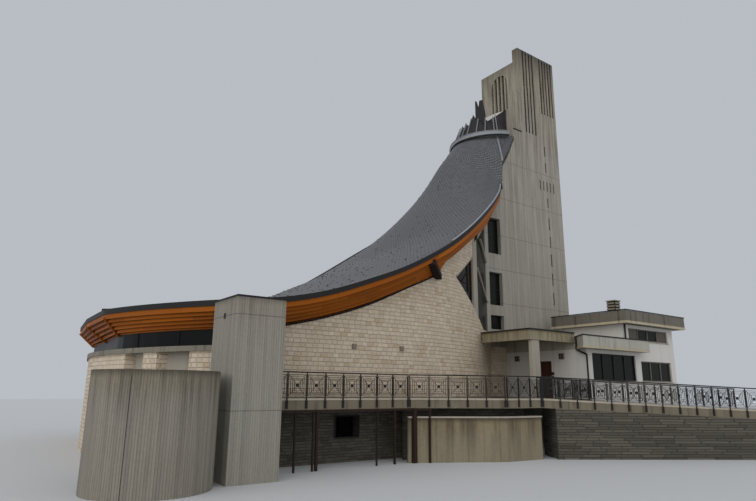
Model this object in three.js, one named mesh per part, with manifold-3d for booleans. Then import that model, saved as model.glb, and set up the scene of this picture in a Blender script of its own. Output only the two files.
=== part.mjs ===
// A modern church: a fan-shaped nave under one sweeping slate roof, a concrete
// tower with a crown at the top of the roof, a raised deck with a railing, an
// entrance porch and two flat-roofed annex blocks.
// Millimetres, +Z up. Site coordinates while building: x runs along the facades,
// y runs into the depth from the tower's front face, z is the height above the
// lowest ground. The finished group is shifted so that its origin is the bottom
// centre of the whole building.
import * as THREE from 'three';
import * as BufferGeometryUtils from 'three/addons/utils/BufferGeometryUtils.js';
import Module from 'manifold-3d';

const wasm = await Module();
wasm.setup();

// Levels
const groundZ = 0;
const floorTop = 2600;
const floorThickness = 350;
const floorBottom = floorTop - floorThickness;
const touchGap = 0.3;

// Nave plan
const wallThickness = 400;
const frontY = -3400;
const bendX = 12000;
const bendRadius = 16000;
const eaveOverhang = 1000;
const endCentre = [16860, 5500];
const endWallRadius = 16490;
const ringBeamProjection = 80;
const ringBeamBottom = 4420;
const ringBeamTop = 4630;

// The nave's centre line in plan. Its cross sections lean at the wide end, by
// endLean of sideways run for each unit of depth, and stand square at the tower.
const axisStart = [380, 7450];
const axisEnd = [21800, 3100];
const endLean = 0.0645;
const leanStartX = 3600;

// Roof: heights of the eave over x, of the ridge over x, and how far the ridge
// point of a section lies left of its eave point
const eaveProfile = [[2760, 6220], [5400, 6600], [7400, 7080], [9450, 7800], [11700, 8720],
  [14380, 10140], [16230, 11330], [18800, 13200], [21830, 15450], [23400, 16650]];
const ridgeProfile = [[-400, 6300], [4000, 6700], [9000, 8060], [11400, 9150], [14000, 10370],
  [15970, 11390], [17550, 13110], [19200, 15250], [20400, 17100], [21470, 19090], [22800, 20700]];
const bulgeProfile = [[2760, 2570], [5400, 2600], [9450, 2000], [11700, 1800], [14600, 1700],
  [17100, 1700], [20400, 1900], [23400, 2000]];
const crownFoot = 20700;
const towerEdge = [[23640, 17150], [23740, 18480], [24330, 19400], [24820, 20330], [25060, crownFoot]];
const towerEdgeBulge = 2260;

// The wide end of the roof is folded twice in plan. A section runs from -1 at the
// street eave over 0 at the ridge to 1; the folds fade out towards the tower.
const eaveCorner = [2760, -4400];
const foldAt = 0.44;
const foldBend = 0.058;
const foldFade = 6000;
const sectionSteps = [1, 0.86, 0.72, 0.58, foldAt, 0.33, 0.22, 0.11, 0];
const roofThickness = 250;
const roofReach = 4000;
const stoneTopProfile = [[2700, 5150], [4300, 5350], [5950, 5640], [8080, 6180], [10190, 6900], [12530, 7950],
  [14540, 8850], [15960, 9720], [17410, 10750], [18510, 11530], [20000, 12500], [21948, 13764],
  [22427, 14400], [22953, 15163], [23396, 15961]];

// Tower
const towerLeft = 21660;
const shaftLeft = 25930;
const towerRight = 30100;
const towerTop = 28200;
const lowerDepth = 6200;
const shaftDepth = 3710;
const towerWall = 300;
const ledgeZ = 21260;

// Porch and annex
const annexFrontY = -5800;
const doorWallX = 23300;
const doorSill = floorTop;
const doorHeight = 2100;
const doorNear = -3400;
const doorFar = -2500;

function materialOf(color, roughness, metalness = 0) {
  return new THREE.MeshStandardMaterial({ color, roughness, metalness });
}

const church = new THREE.Group();
const site = new THREE.Group();
church.add(site);

const finishes = {
  stone: () => materialOf(0xcfc4ae, 0.9),
  greyStone: () => materialOf(0x8d877b, 0.95),
  concrete: () => materialOf(0x9a968c, 0.9),
  paleConcrete: () => materialOf(0xb3ab9a, 0.9),
  slate: () => materialOf(0x54585d, 0.7),
  darkMetal: () => materialOf(0x2c2e30, 0.5, 0.6),
  zinc: () => materialOf(0x8b9095, 0.45, 0.6),
  wood: () => materialOf(0xb0632a, 0.6),
  render: () => materialOf(0xd9d6d0, 0.9),
  glass: () => materialOf(0x1d2226, 0.15),
  doorRed: () => materialOf(0x4a1a12, 0.5),
  rust: () => materialOf(0x3a2822, 0.8, 0.4),
};

function addPart(name, finish, geometry) {
  const mesh = new THREE.Mesh(geometry, finishes[finish]());
  mesh.name = name;
  site.add(mesh);
  return mesh;
}

// Geometry helpers
function withoutExtras(geometry) {
  const plain = geometry.index ? geometry.toNonIndexed() : geometry;
  plain.deleteAttribute('normal');
  plain.deleteAttribute('uv');
  return BufferGeometryUtils.mergeVertices(plain, 1e-3);
}

function toSolid(geometry) {
  const merged = withoutExtras(geometry);
  return new wasm.Manifold(new wasm.Mesh({
    numProp: 3,
    vertProperties: new Float32Array(merged.attributes.position.array),
    triVerts: new Uint32Array(merged.index.array),
  }));
}

function toGeometry(solid) {
  const mesh = solid.getMesh();
  const geometry = new THREE.BufferGeometry();
  geometry.setAttribute('position', new THREE.BufferAttribute(new Float32Array(mesh.vertProperties), 3));
  geometry.setIndex(new THREE.BufferAttribute(new Uint32Array(mesh.triVerts), 1));
  geometry.computeVertexNormals();
  return geometry;
}

function join(...geometries) {
  return toGeometry(geometries.map(toSolid).reduce((sum, next) => sum.add(next)));
}

function cut(geometry, ...tools) {
  return toGeometry(tools.map(toSolid).reduce((rest, tool) => rest.subtract(tool), toSolid(geometry)));
}

function box([x0, x1], [y0, y1], [z0, z1]) {
  const geometry = new THREE.BoxGeometry(x1 - x0, y1 - y0, z1 - z0);
  return geometry.translate((x0 + x1) / 2, (y0 + y1) / 2, (z0 + z1) / 2);
}

function prism(points, depth) {
  const shape = new THREE.Shape(points.map(([u, v]) => new THREE.Vector2(u, v)));
  return new THREE.ExtrudeGeometry(shape, { depth, bevelEnabled: false });
}

// A plate with its openings cut right through
function pierced(points, holes, depth) {
  const plate = prism(points, depth);
  if (holes.length === 0) return plate;
  return cut(plate, ...holes.map((hole) => prism(hole, depth + 200).translate(0, 0, -100)));
}

// A slab: an outline in plan between two heights
function slab(points, z0, z1) {
  return prism(points, z1 - z0).translate(0, 0, z0);
}

// A wall along x: an outline in x and z, with openings, between two depths
function wallXZ(points, holes, y0, y1) {
  return pierced(points, holes, y1 - y0).rotateX(Math.PI / 2).translate(0, y1, 0);
}

// A wall along y: an outline in y and z, with openings, between two x
function wallYZ(points, holes, x0, x1) {
  const turn = new THREE.Matrix4().makeBasis(
    new THREE.Vector3(0, 1, 0), new THREE.Vector3(0, 0, 1), new THREE.Vector3(1, 0, 0));
  return pierced(points, holes, x1 - x0).applyMatrix4(turn).translate(x0, 0, 0);
}

function rectangle([u0, u1], [v0, v1]) {
  return [[u0, v0], [u1, v0], [u1, v1], [u0, v1]];
}

// A closed body through equal polygons given in order; its faces point out
function loft(sections) {
  const sides = sections[0].length;
  const positions = sections.flat().flatMap((p) => [p.x, p.y, p.z]);
  const index = [];
  for (let i = 0; i + 1 < sections.length; i += 1) {
    for (let j = 0; j < sides; j += 1) {
      const k = (j + 1) % sides;
      const [a, b] = [i * sides + j, i * sides + k];
      index.push(a, b, b + sides, a, b + sides, a + sides);
    }
  }
  const last = (sections.length - 1) * sides;
  for (let j = 1; j + 1 < sides; j += 1) {
    index.push(0, j + 1, j, last, last + j, last + j + 1);
  }
  return facingOut(positions, index);
}

function facingOut(positions, index) {
  let volume = 0;
  const corner = (i) => new THREE.Vector3().fromArray(positions, i * 3);
  for (let t = 0; t < index.length; t += 3) {
    volume += corner(index[t]).dot(corner(index[t + 1]).cross(corner(index[t + 2])));
  }
  const ordered = volume < 0 ? index.toReversed() : index;
  const geometry = new THREE.BufferGeometry();
  geometry.setAttribute('position', new THREE.Float32BufferAttribute(positions, 3));
  geometry.setIndex(ordered);
  geometry.computeVertexNormals();
  return geometry;
}

// A thin shell between a grid of points and the same grid moved down
function shell(grid, thickness) {
  const rows = grid.length;
  const columns = grid[0].length;
  const top = grid.flat();
  const positions = [...top.flatMap((p) => [p.x, p.y, p.z]), ...top.flatMap((p) => [p.x, p.y, p.z - thickness])];
  const under = rows * columns;
  const index = [];
  const at = (i, j) => i * columns + j;
  const quad = (a, b, c, d) => index.push(a, b, c, a, c, d);
  for (let i = 0; i + 1 < rows; i += 1) {
    for (let j = 0; j + 1 < columns; j += 1) {
      quad(at(i, j), at(i + 1, j), at(i + 1, j + 1), at(i, j + 1));
      quad(under + at(i, j), under + at(i, j + 1), under + at(i + 1, j + 1), under + at(i + 1, j));
    }
  }
  for (let i = 0; i + 1 < rows; i += 1) {
    quad(at(i, 0), under + at(i, 0), under + at(i + 1, 0), at(i + 1, 0));
    quad(at(i + 1, columns - 1), under + at(i + 1, columns - 1), under + at(i, columns - 1), at(i, columns - 1));
  }
  for (let j = 0; j + 1 < columns; j += 1) {
    quad(at(0, j + 1), under + at(0, j + 1), under + at(0, j), at(0, j));
    quad(at(rows - 1, j), under + at(rows - 1, j), under + at(rows - 1, j + 1), at(rows - 1, j + 1));
  }
  return facingOut(positions, index);
}

function range(count, from = 0, to = 1) {
  return Array.from({ length: count + 1 }, (_, i) => from + (to - from) * i / count);
}

// A smooth height read from a profile of [x, value] pairs
function valueAt(profile, x) {
  const last = profile.length - 1;
  if (x <= profile[0][0]) return profile[0][1];
  if (x >= profile[last][0]) return profile[last][1];
  const i = profile.findIndex(([px]) => px > x) - 1;
  const slope = (k) => {
    const [a, b] = [profile[Math.max(k - 1, 0)], profile[Math.min(k + 1, last)]];
    return (b[1] - a[1]) / (b[0] - a[0]);
  };
  const [[x0, v0], [x1, v1]] = [profile[i], profile[i + 1]];
  const width = x1 - x0;
  const t = (x - x0) / width;
  return v0 * (1 + 2 * t) * (1 - t) ** 2 + v1 * t * t * (3 - 2 * t)
    + slope(i) * width * t * (1 - t) ** 2 - slope(i + 1) * width * t * t * (1 - t);
}

// The long side of the nave, straight and then bent round towards the tower.
// A station is a point on the wall's face with its outward direction.
function straightStation(x) {
  return { base: [x, frontY], out: [0, -1] };
}

function bentStation(angle) {
  const [sine, cosine] = [Math.sin(angle), Math.cos(angle)];
  return {
    base: [bendX + bendRadius * sine, frontY + bendRadius * (1 - cosine)],
    out: [sine, -cosine],
  };
}

function at({ base, out }, outwards, z) {
  return new THREE.Vector3(base[0] + out[0] * outwards, base[1] + out[1] * outwards, z);
}

const bendStep = THREE.MathUtils.degToRad(2.2);
const wallBends = 17;
const eaveBends = 19;
const bends = (count) => range(count, 0, bendStep * count).map(bentStation);

const stoneTop = (point) => valueAt(stoneTopProfile, point.x);
const eaveHeight = (point) => valueAt(eaveProfile, point.x);
const eaveUnderside = (station) => eaveHeight(at(station, eaveOverhang, 0)) - roofThickness - touchGap;
const aboveRoof = (station) => eaveUnderside(station) + roofReach;

const axisSlope = (axisEnd[1] - axisStart[1]) / (axisEnd[0] - axisStart[0]);

function axisY(x) {
  return axisStart[1] + axisSlope * (Math.min(x, axisEnd[0]) - axisStart[0]);
}

// The matching point behind the centre line, along the leaning cross section
function mirrored(point) {
  const straightened = THREE.MathUtils.clamp((point.x - leanStartX) / (axisEnd[0] - leanStartX), 0, 1);
  const lean = endLean * (1 - straightened);
  const run = (axisY(point.x) - point.y) / (1 - axisSlope * lean);
  return new THREE.Vector3(point.x + 2 * run * lean, point.y + 2 * run, point.z);
}

function mirroredLoft(sections) {
  return loft(sections.map((section) => section.map(mirrored)));
}

// x of the curved end wall's circles at a depth
function endX(y, radius) {
  return endCentre[0] - Math.sqrt(radius ** 2 - (y - endCentre[1]) ** 2);
}

const endInnerRadius = endWallRadius - wallThickness;
const cornerX = endX(frontY, endInnerRadius) + touchGap;
const innerCornerX = endX(frontY + wallThickness, endInnerRadius) + touchGap;

function wallSections(stations, bottom, topOf) {
  return stations.map((station) => {
    const [outer, inner] = [at(station, 0, bottom), at(station, -wallThickness, bottom)];
    const top = topOf(station);
    return [outer, outer.clone().setZ(top), inner.clone().setZ(top), inner];
  });
}

// The first section of a long wall follows the inner face of the end wall
function withEndCorner(sections) {
  sections[0][2].x = innerCornerX;
  sections[0][3].x = innerCornerX;
  return sections;
}

const straights = range(12, leanStartX, bendX).map(straightStation);
const wallStraights = [straightStation(cornerX), ...straights];
const lowerOpening = box([8460, 9700], [frontY - 100, frontY + wallThickness + 100], [1000, 1910]);
const g = touchGap;
const notchTop = 20000;
const notchOutline = [[18510, notchTop], [18430, 10500], [16330, 9020], [19950, 6470], [23000, 6470],
  [23000, notchTop]];

// Nave walls: the storey below the deck, and the tall stone walls above it
function makeNaveWalls() {
  const lower = withEndCorner(wallSections([...wallStraights, ...bends(wallBends).slice(1)], groundZ,
    () => floorBottom));
  addPart('lower_front_wall', 'greyStone', cut(loft(lower), lowerOpening));
  addPart('lower_back_wall', 'greyStone', mirroredLoft(lower));
  const [frontSpace, backSpace] = [-1, 1].map(roofSpace);
  const straight = withEndCorner(wallSections(wallStraights, floorTop, aboveRoof));
  addPart('nave_front_wall', 'stone', cut(loft(straight), frontSpace));
  addPart('nave_back_wall', 'stone', cut(mirroredLoft(straight), backSpace));
  const bent = wallSections(bends(wallBends), floorTop, aboveRoof);
  addPart('nave_front_curved_wall', 'stone', cut(loft(bent), frontSpace, wallXZ(notchOutline, [], -6000, 3000)));
  addPart('nave_back_curved_wall', 'stone', cut(mirroredLoft(bent), backSpace,
    wallXZ(notchOutline, [], 3400, 16000)));
}

// The curved end wall with its ring beam, and the dark clerestory band above. The
// wall is a circle from the street front to the middle, a straight stretch, and the
// mirrored circle behind; the band's plan is mirrored about the centre line.
const endAngles = [-29.5, -10.5, 9.57].map(THREE.MathUtils.degToRad);
const recessSill = floorTop + 600;
const recessSpans = [[-2350, -700], [150, 1500]];
const liningThickness = 80;
const ringBeamDepth = 850;
const bandDepth = 150;
const bandThickness = 100;
const bandTop = 5270;
const bandFoldY = 2500;
const bandSlope = 0.078;
const endSteps = 12;

const bandX = (setback) => (y) => endX(Math.min(y, bandFoldY), endWallRadius - bandDepth) + setback
  + bandSlope * Math.max(y - bandFoldY, 0);

// Depth at which a plan curve crosses the centre line
function crossing(curve) {
  let y = axisStart[1];
  for (let i = 0; i < 20; i += 1) y = axisY(curve(y));
  return y;
}

// Points round the end wall at a distance outwards of its face, front corner first
function endLine(outwards) {
  const radius = endWallRadius + outwards;
  const corner = [frontY, frontY + wallThickness].map((y) => new THREE.Vector3(endX(y, radius), y, 0));
  const round = (from, to) => range(6, from, to)
    .map((a) => new THREE.Vector3(endCentre[0] - radius * Math.cos(a), endCentre[1] + radius * Math.sin(a), 0));
  const side = [...corner, ...round(endAngles[0], endAngles[1])];
  const middle = round(endAngles[1], endAngles[2]).slice(1);
  return [...side, ...middle, ...side.map(mirrored).reverse()];
}

function bandLine(setback) {
  const curve = bandX(setback);
  const ys = [frontY, ...range(endSteps, frontY + wallThickness, crossing(curve))];
  const front = ys.map((y) => new THREE.Vector3(curve(y), y, 0));
  return [...front, ...front.slice(0, -1).map(mirrored).reverse()];
}

// A wall between two plan lines and two heights
function between(outer, inner, bottom, top) {
  return loft(outer.map((p, i) => [p.clone().setZ(bottom), p.clone().setZ(top),
    inner[i].clone().setZ(top), inner[i].clone().setZ(bottom)]));
}

function makeEndWall() {
  const wall = between(endLine(0), endLine(-wallThickness), groundZ, ringBeamBottom - g);
  const recess = ([from, to]) => {
    const front = [[-1000, from], [5000, from], [5000, to], [-1000, to]];
    const back = front.map(([x, y]) => mirrored(new THREE.Vector3(x, y, 0))).map((p) => [p.x, p.y]);
    return [front, back].map((outline) => slab(outline, recessSill, ringBeamBottom + 10));
  };
  addPart('end_wall', 'stone', cut(wall, ...recessSpans.flatMap(recess)));
  const lining = [wallThickness + g, wallThickness + liningThickness].map((depth) => endLine(-depth).slice(2, -2));
  addPart('end_wall_lining', 'paleConcrete', between(...lining, floorTop, ringBeamBottom - g));
  const atCorner = endLine(-wallThickness);
  const shelf = endLine(-ringBeamDepth);
  const ledge = [...atCorner.slice(0, 2), ...shelf.slice(2, -2), ...atCorner.slice(-2)];
  addPart('ring_beam', 'paleConcrete', between(endLine(ringBeamProjection), ledge, ringBeamBottom, ringBeamTop));
  addPart('clerestory_band', 'glass', between(bandLine(0), bandLine(bandThickness), ringBeamTop + g, bandTop));
}

// Roof: eave point, axis point and mirrored eave point of each section
function roofStations() {
  const ridgeAt = (x) => new THREE.Vector3(x, axisY(x), valueAt(ridgeProfile, x));
  const straight = [straightStation(eaveCorner[0]), ...straights.slice(0, -1)];
  const eaves = [...straight, ...bends(eaveBends)].map((station) => {
    const eave = at(station, eaveOverhang, 0);
    return eave.setZ(eaveHeight(eave));
  });
  const stations = eaves.map((eave) => ({ eave, ridge: ridgeAt(eave.x - valueAt(bulgeProfile, eave.x)) }));
  for (const [x, z] of towerEdge) {
    const ridgeX = Math.min(x - towerEdgeBulge * (x - 21700) / 3360, 22800);
    stations.push({ eave: new THREE.Vector3(x, 0, z), ridge: ridgeAt(ridgeX) });
  }
  return stations;
}

// How far a point of the folded end edge has bent back, as a share of the whole
function foldedBend(t) {
  const past = (Math.abs(t) - foldAt) / (1 - foldAt);
  if (past < 0) return foldBend * Math.abs(t) / foldAt;
  return foldBend + (1 - foldBend) * (0.62 * past + 0.38 * past ** 2);
}

// A point of a section, t from -1 at the street eave to 1
function roofPoint({ eave, ridge }, t) {
  const behind = mirrored(eave);
  const half = behind.clone().sub(eave).divideScalar(2);
  const bend = behind.add(eave).divideScalar(2).sub(ridge);
  const folded = 1 - Math.min((eave.x - eaveCorner[0]) / foldFade, 1);
  const share = folded * foldedBend(t) + (1 - folded) * t * t;
  return new THREE.Vector3(ridge.x + half.x * t + bend.x * share, ridge.y + half.y * t + bend.y * share,
    ridge.z + (eave.z - ridge.z) * t * t);
}

// The grid of points of one half, side -1 towards the street and 1 behind
function roofGrid(side) {
  return roofStations().map((station) => sectionSteps.map((t) => roofPoint(station, side * t)));
}

// All the room that a roof half takes up and what lies above it, to cut walls with
function roofSpace(side) {
  const raised = roofGrid(side).map((row) => row.map((p) => p.clone().setZ(p.z + 2 * roofReach)));
  return shell(raised, 2 * roofReach + roofThickness + touchGap);
}

function makeRoof() {
  addPart('roof_front', 'slate', shell(roofGrid(-1), roofThickness));
  addPart('roof_back', 'slate', shell(roofGrid(1), roofThickness));
}

// Wood soffits between the eaves and the walls, wedges under the roof's edge
const soffitEdge = 80;

function makeSoffits() {
  const corner = new THREE.Vector3(endX(frontY, endWallRadius - bandDepth), frontY - g, 0);
  const cornerTop = eaveHeight(new THREE.Vector3(...eaveCorner, 0)) - roofThickness - g;
  const mitre = (shift) => {
    const [eave, wall] = [new THREE.Vector3(eaveCorner[0] + shift, eaveCorner[1], 0), corner.clone()];
    wall.x += shift;
    return [eave.clone().setZ(cornerTop), wall.clone().setZ(cornerTop), wall.clone().setZ(bandTop),
      eave.clone().setZ(cornerTop - soffitEdge)];
  };
  const stations = [...straights.slice(0, -1), ...bends(eaveBends)];
  const wedge = stations.map((station) => {
    const eave = at(station, eaveOverhang, 0);
    const top = eaveUnderside(station);
    const past = Math.max(station.base[1] + g, 0) / -station.out[1];
    const wall = at(station, Math.max(past, g), 0);
    return [eave.clone().setZ(top), wall.clone().setZ(top), wall.clone().setZ(stoneTop(wall)),
      eave.clone().setZ(top - soffitEdge)];
  });
  addPart('soffit_front', 'wood', cut(loft([mitre(g), ...wedge]), roofSpace(-1)));
  addPart('soffit_back', 'wood', cut(mirroredLoft([mitre(g), ...wedge]), roofSpace(1)));
  const endStation = roofStations()[0];
  const innerY = crossing(bandX(0));
  const inner = (share) => frontY + (innerY - frontY) * share;
  const end = sectionSteps.slice(1).map((t) => {
    const eave = roofPoint(endStation, -t);
    const share = (eave.y - eaveCorner[1]) / (roofPoint(endStation, 0).y - eaveCorner[1]);
    const top = eave.z - roofThickness - g;
    const wall = new THREE.Vector3(bandX(-g)(inner(share)), inner(share), 0);
    return [eave.clone().setZ(top), wall.clone().setZ(top), wall.clone().setZ(bandTop + g),
      eave.clone().setZ(top - soffitEdge)];
  });
  const half = [mitre(0), ...end];
  const behind = half.slice(0, -1).map((section) => section.map(mirrored));
  addPart('soffit_end', 'wood', loft([...half, ...behind.reverse()]));
}

// Glazing between the notched stone edge and the tower, with a concrete post
const glassDepth = [140, 200];
const glassBottom = 6471;
const postAngles = [23.9, 26.3];
const postInset = 5;

function makeGlazing() {
  const notch = (y0, y1) => wallXZ(notchOutline.map(([x, z]) => [x + 1, Math.max(z, glassBottom)]), [], y0, y1);
  const standing = (stations, [outer, inner]) => stations.map((station) => {
    const [front, rear] = [outer, inner].map((depth) => at(station, -depth, floorTop));
    const top = aboveRoof(station);
    return [front, front.clone().setZ(top), rear.clone().setZ(top), rear];
  });
  const within = (geometry, tool) => toGeometry(toSolid(geometry).intersect(toSolid(tool)));
  const sheet = standing(bends(wallBends), glassDepth);
  addPart('nave_front_glazing', 'glass', cut(within(loft(sheet), notch(-6000, 3000)), roofSpace(-1)));
  addPart('nave_back_glazing', 'glass', cut(within(mirroredLoft(sheet), notch(3400, 16000)), roofSpace(1)));
  const glassSpace = loft(standing(bends(wallBends), [glassDepth[0] - g, wallThickness]));
  const postStations = postAngles.map((angle) => bentStation(THREE.MathUtils.degToRad(angle)));
  const post = loft(standing(postStations, [postInset, glassDepth[1]]));
  addPart('glazing_post', 'concrete', cut(within(post, notch(-6000, 3000)), roofSpace(-1), glassSpace));
}

// Floor of the nave and the porch, with the deck in front and the ramp to the street.
// The deck's edge runs along the nave, turns towards the street and on to the ramp.
const deckFrontY = -5150;
const deckTurns = [[11100, deckFrontY], [15000, -7200], [17200, -7400]];
const pierX = [2500, 4340];
const pierY = [-6540, -4400];
const pierTop = 6170;
const drumCentre = [300, -5800];
const drumRadius = 1930;
const drumThickness = 200;
const drumTop = 3555;
const rampRun = [9000, -5740];
const rampWidth = 1896;
const rampDrop = 460;
const lowWallTop = 1830;

// A point beside the line from a to b: a share of the way along, moved sideways to
// the left of the direction of travel
function beside([ax, ay], [bx, by], share, sideways) {
  const length = Math.hypot(bx - ax, by - ay);
  const [ux, uy] = [(bx - ax) / length, (by - ay) / length];
  return [ax + (bx - ax) * share - uy * sideways, ay + (by - ay) * share + ux * sideways];
}

const rampStart = deckTurns[2];
const rampEnd = [rampStart[0] + rampRun[0], rampStart[1] + rampRun[1]];
const onRamp = (share, sideways) => beside(rampStart, rampEnd, share, sideways);

function makeFloors() {
  const deckEdge = [[pierX[1] + g, deckFrontY], ...deckTurns];
  const frontLeft = [[cornerX, frontY], [pierX[1] + g, frontY], ...deckEdge];
  const porch = [[onRamp(0, rampWidth)[0], annexFrontY - g], [doorWallX - g, annexFrontY - g],
    [doorWallX - g, -g], [towerLeft - g, -g], [towerLeft - g, lowerDepth + g]];
  const backLine = [...wallStraights, ...bends(wallBends).slice(1)].map((station) => {
    const point = mirrored(at(station, 0, 0));
    return [point.x, point.y];
  }).reverse();
  const endEdge = endLine(-wallThickness - g).slice(1, -1).map((p) => [p.x, p.y]).reverse();
  addPart('church_floor', 'concrete', slab([...frontLeft, ...porch, ...backLine, ...endEdge], floorBottom, floorTop));
  const rampSection = (share, top) => {
    const [near, far] = [onRamp(share, 0), onRamp(share, rampWidth)];
    return [near, far].flatMap(([x, y], i) => {
      const [low, high] = [new THREE.Vector3(x, y, top - floorThickness), new THREE.Vector3(x, y, top)];
      return i ? [high, low] : [low, high];
    });
  };
  const rampGap = 2 * g / Math.hypot(...rampRun);
  addPart('ramp', 'concrete', loft([rampSection(rampGap, floorTop), rampSection(1, floorTop - rampDrop)]));
  const wallUnder = (sideways) => loft([0.06, 1].map((share) => {
    const top = floorTop - floorThickness - rampDrop * share - 2 * g;
    const [near, far] = [onRamp(share, sideways), onRamp(share, sideways + wallThickness)];
    return [[...near, groundZ], [...near, top], [...far, top], [...far, groundZ]].map((p) => new THREE.Vector3(...p));
  }));
  const crossWall = slab([onRamp(0.06, 0), onRamp(0.1, 0), onRamp(0.1, rampWidth), onRamp(0.06, rampWidth)],
    groundZ, floorBottom - rampDrop * 0.1 - 2 * g);
  addPart('ramp_base', 'greyStone', join(wallUnder(0), wallUnder(rampWidth - wallThickness), crossWall));
  const setBack = (from, to) => {
    const line = [deckTurns[0], deckTurns[1], deckTurns[2]];
    const row = (distance) => [beside(line[0], line[1], 0, distance), beside(line[0], line[1], 1, distance),
      beside(line[1], line[2], 1, distance)];
    return [...row(from), ...row(to).reverse()];
  };
  addPart('deck_low_wall', 'concrete', slab(setBack(100, 350), groundZ, lowWallTop));
  addPart('deck_base_wall', 'greyStone', slab(setBack(1200, 1600), groundZ, floorBottom - g));
}

function makePierAndDrum() {
  addPart('corner_pier', 'concrete', box(pierX, pierY, [groundZ, pierTop]));
  const inner = drumRadius - drumThickness;
  const profile = rectangle([inner, drumRadius], [groundZ, drumTop]);
  const drum = new THREE.LatheGeometry([...profile, profile[0]].map(([r, z]) => new THREE.Vector2(r, z)), 40);
  addPart('drum_wall', 'concrete', drum.rotateX(Math.PI / 2).translate(...drumCentre, 0));
}

// Tower
const bayWindows = [[[22000, 23200], [11700, 14150]], [[22000, 23200], [8300, 10450]], [[22000, 23200], [6750, 7650]]];
const leftSlots = [31450, 31800, 32150, 32500].map((x) => [[x - 5000, x - 4830], [21450, 28000]]);
const rightSlots = [33400, 33730, 34060, 34390, 34720].map((x) => [[x - 5000, x - 4840], [23500, 28000]]);
const slitColumn = [[20000, 20800], [18700, 19500], [16000, 16700], [14300, 15200], [13000, 13800], [11600, 12500],
  [10200, 11100], [8800, 9700]].map((span) => [[28440, 28560], span]);
const slitRow = [32700, 33080, 33460, 33840, 34220].map((x) => [[x - 5000, x - 4880], [17250, 18000]]);
const towerBodyTop = 20900;

// The crown at the top of the roof: a ring round crownCentre, a little flatter on
// the far side. Angle 0 looks down the roof; positive angles lie behind.
const crownCentre = [26000, 3100];
const crownRadius = 3330;
const crownFlattening = 210;

function crownPoint(radius, angle, z) {
  const r = radius - crownFlattening * THREE.MathUtils.clamp(angle / 0.6, 0, 1);
  return new THREE.Vector3(crownCentre[0] - r * Math.cos(angle), crownCentre[1] + r * Math.sin(angle), z);
}

function makeTower() {
  const leftEdge = [[23400, 16950], [23250, 15800], [22300, 14800], [21660, 14250]];
  const outline = [[towerLeft, groundZ], [towerRight, groundZ], [towerRight, towerTop], [shaftLeft, towerTop],
    [shaftLeft, ledgeZ], [25060, ledgeZ], [25060, 20400], [24820, 19950], [24330, 18950], [23700, 18000], ...leftEdge];
  const holes = [...bayWindows, ...leftSlots, ...rightSlots, ...slitColumn, ...slitRow].map(([u, v]) => rectangle(u, v));
  addPart('tower_front_wall', 'concrete', cut(wallXZ(outline, holes, 0, towerWall), roofSpace(-1)));
  const backOutline = [[towerLeft, groundZ], [towerRight, groundZ], [towerRight, towerBodyTop], [25060, towerBodyTop],
    [25060, 20400], [24820, 19950], [24330, 18950], [23700, 18000], ...leftEdge];
  const backHoles = [...bayWindows, ...slitColumn].filter(([, v]) => v[1] < 20000).map(([u, v]) => rectangle(u, v));
  addPart('tower_back_wall', 'concrete', cut(wallXZ(backOutline, backHoles, lowerDepth - towerWall, lowerDepth),
    roofSpace(1)));
  const inner = [towerWall + g, lowerDepth - towerWall - g];
  addPart('tower_right_wall', 'concrete', wallYZ([[inner[0], groundZ], [inner[1], groundZ], [inner[1], towerBodyTop],
    [shaftDepth, towerBodyTop], [shaftDepth, towerTop], [inner[0], towerTop]], [], towerRight - towerWall, towerRight));
  const arch = [...range(12, 0, Math.PI)].map((a) => [1900 + 750 * Math.cos(a), 25900 + 750 * Math.sin(a)]);
  addPart('tower_left_wall', 'concrete', wallYZ([[inner[0], towerBodyTop], [shaftDepth, towerBodyTop],
    [shaftDepth, 27200], [500, 27200], [500, towerTop], [inner[0], towerTop]],
  [[[1150, 23600], [2650, 23600], ...arch]], shaftLeft, shaftLeft + towerWall));
  addPart('tower_shaft_back_wall', 'concrete', box([shaftLeft + towerWall + g, towerRight - towerWall - g],
    [shaftDepth - towerWall, shaftDepth], [towerBodyTop, 27200]));
  const edge = range(16, -1, 1).map((t) => crownPoint(crownRadius - 230, Math.asin(0.887 * t), 0))
    .map((p) => [p.x, p.y]);
  addPart('tower_roof', 'concrete', slab([[towerRight - towerWall - g, inner[0]],
    [towerRight - towerWall - g, inner[1]], [25060, inner[1]], ...edge.reverse()], crownFoot + g, towerBodyTop - g));
  addPart('tower_top_slab', 'concrete', box([shaftLeft + towerWall + g, towerRight - towerWall - g],
    [towerWall + g, shaftDepth - towerWall - g], [26800, 27000]));
  addPart('tower_bay_glass', 'glass', box([21900, 23300], [towerWall + g, towerWall + 40], [6600, 14300]));
}

const ringWidth = 180;
const ringTop = 21050;

// Saw-toothed blades round the crown, highest on the side that looks down the
// roof. A low one runs from one angle to the next and drops from high to dip.
const bladeFoot = 20940;
const bladeThickness = 60;
const lowBlades = [[8, -0.5, 22320, 21850], [-1, -9.5, 22400, 22050], [-10, -23.5, 23140, 22300], [-24, -35.5, 22460, 21600],
  [-36, -47.5, 22450, 21500], [-48, -60, 22500, 21500], [8.5, 19.5, 22320, 21800], [20, 31.5, 22400, 21700],
  [32, 43.5, 22400, 21600], [44, 56, 22400, 21500]];
const tallBlades = [[-17.5, 24080], [-20, 24080], [-24, 23520], [-25.5, 24050], [-31.5, 24080], [-36, 22900]];

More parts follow.
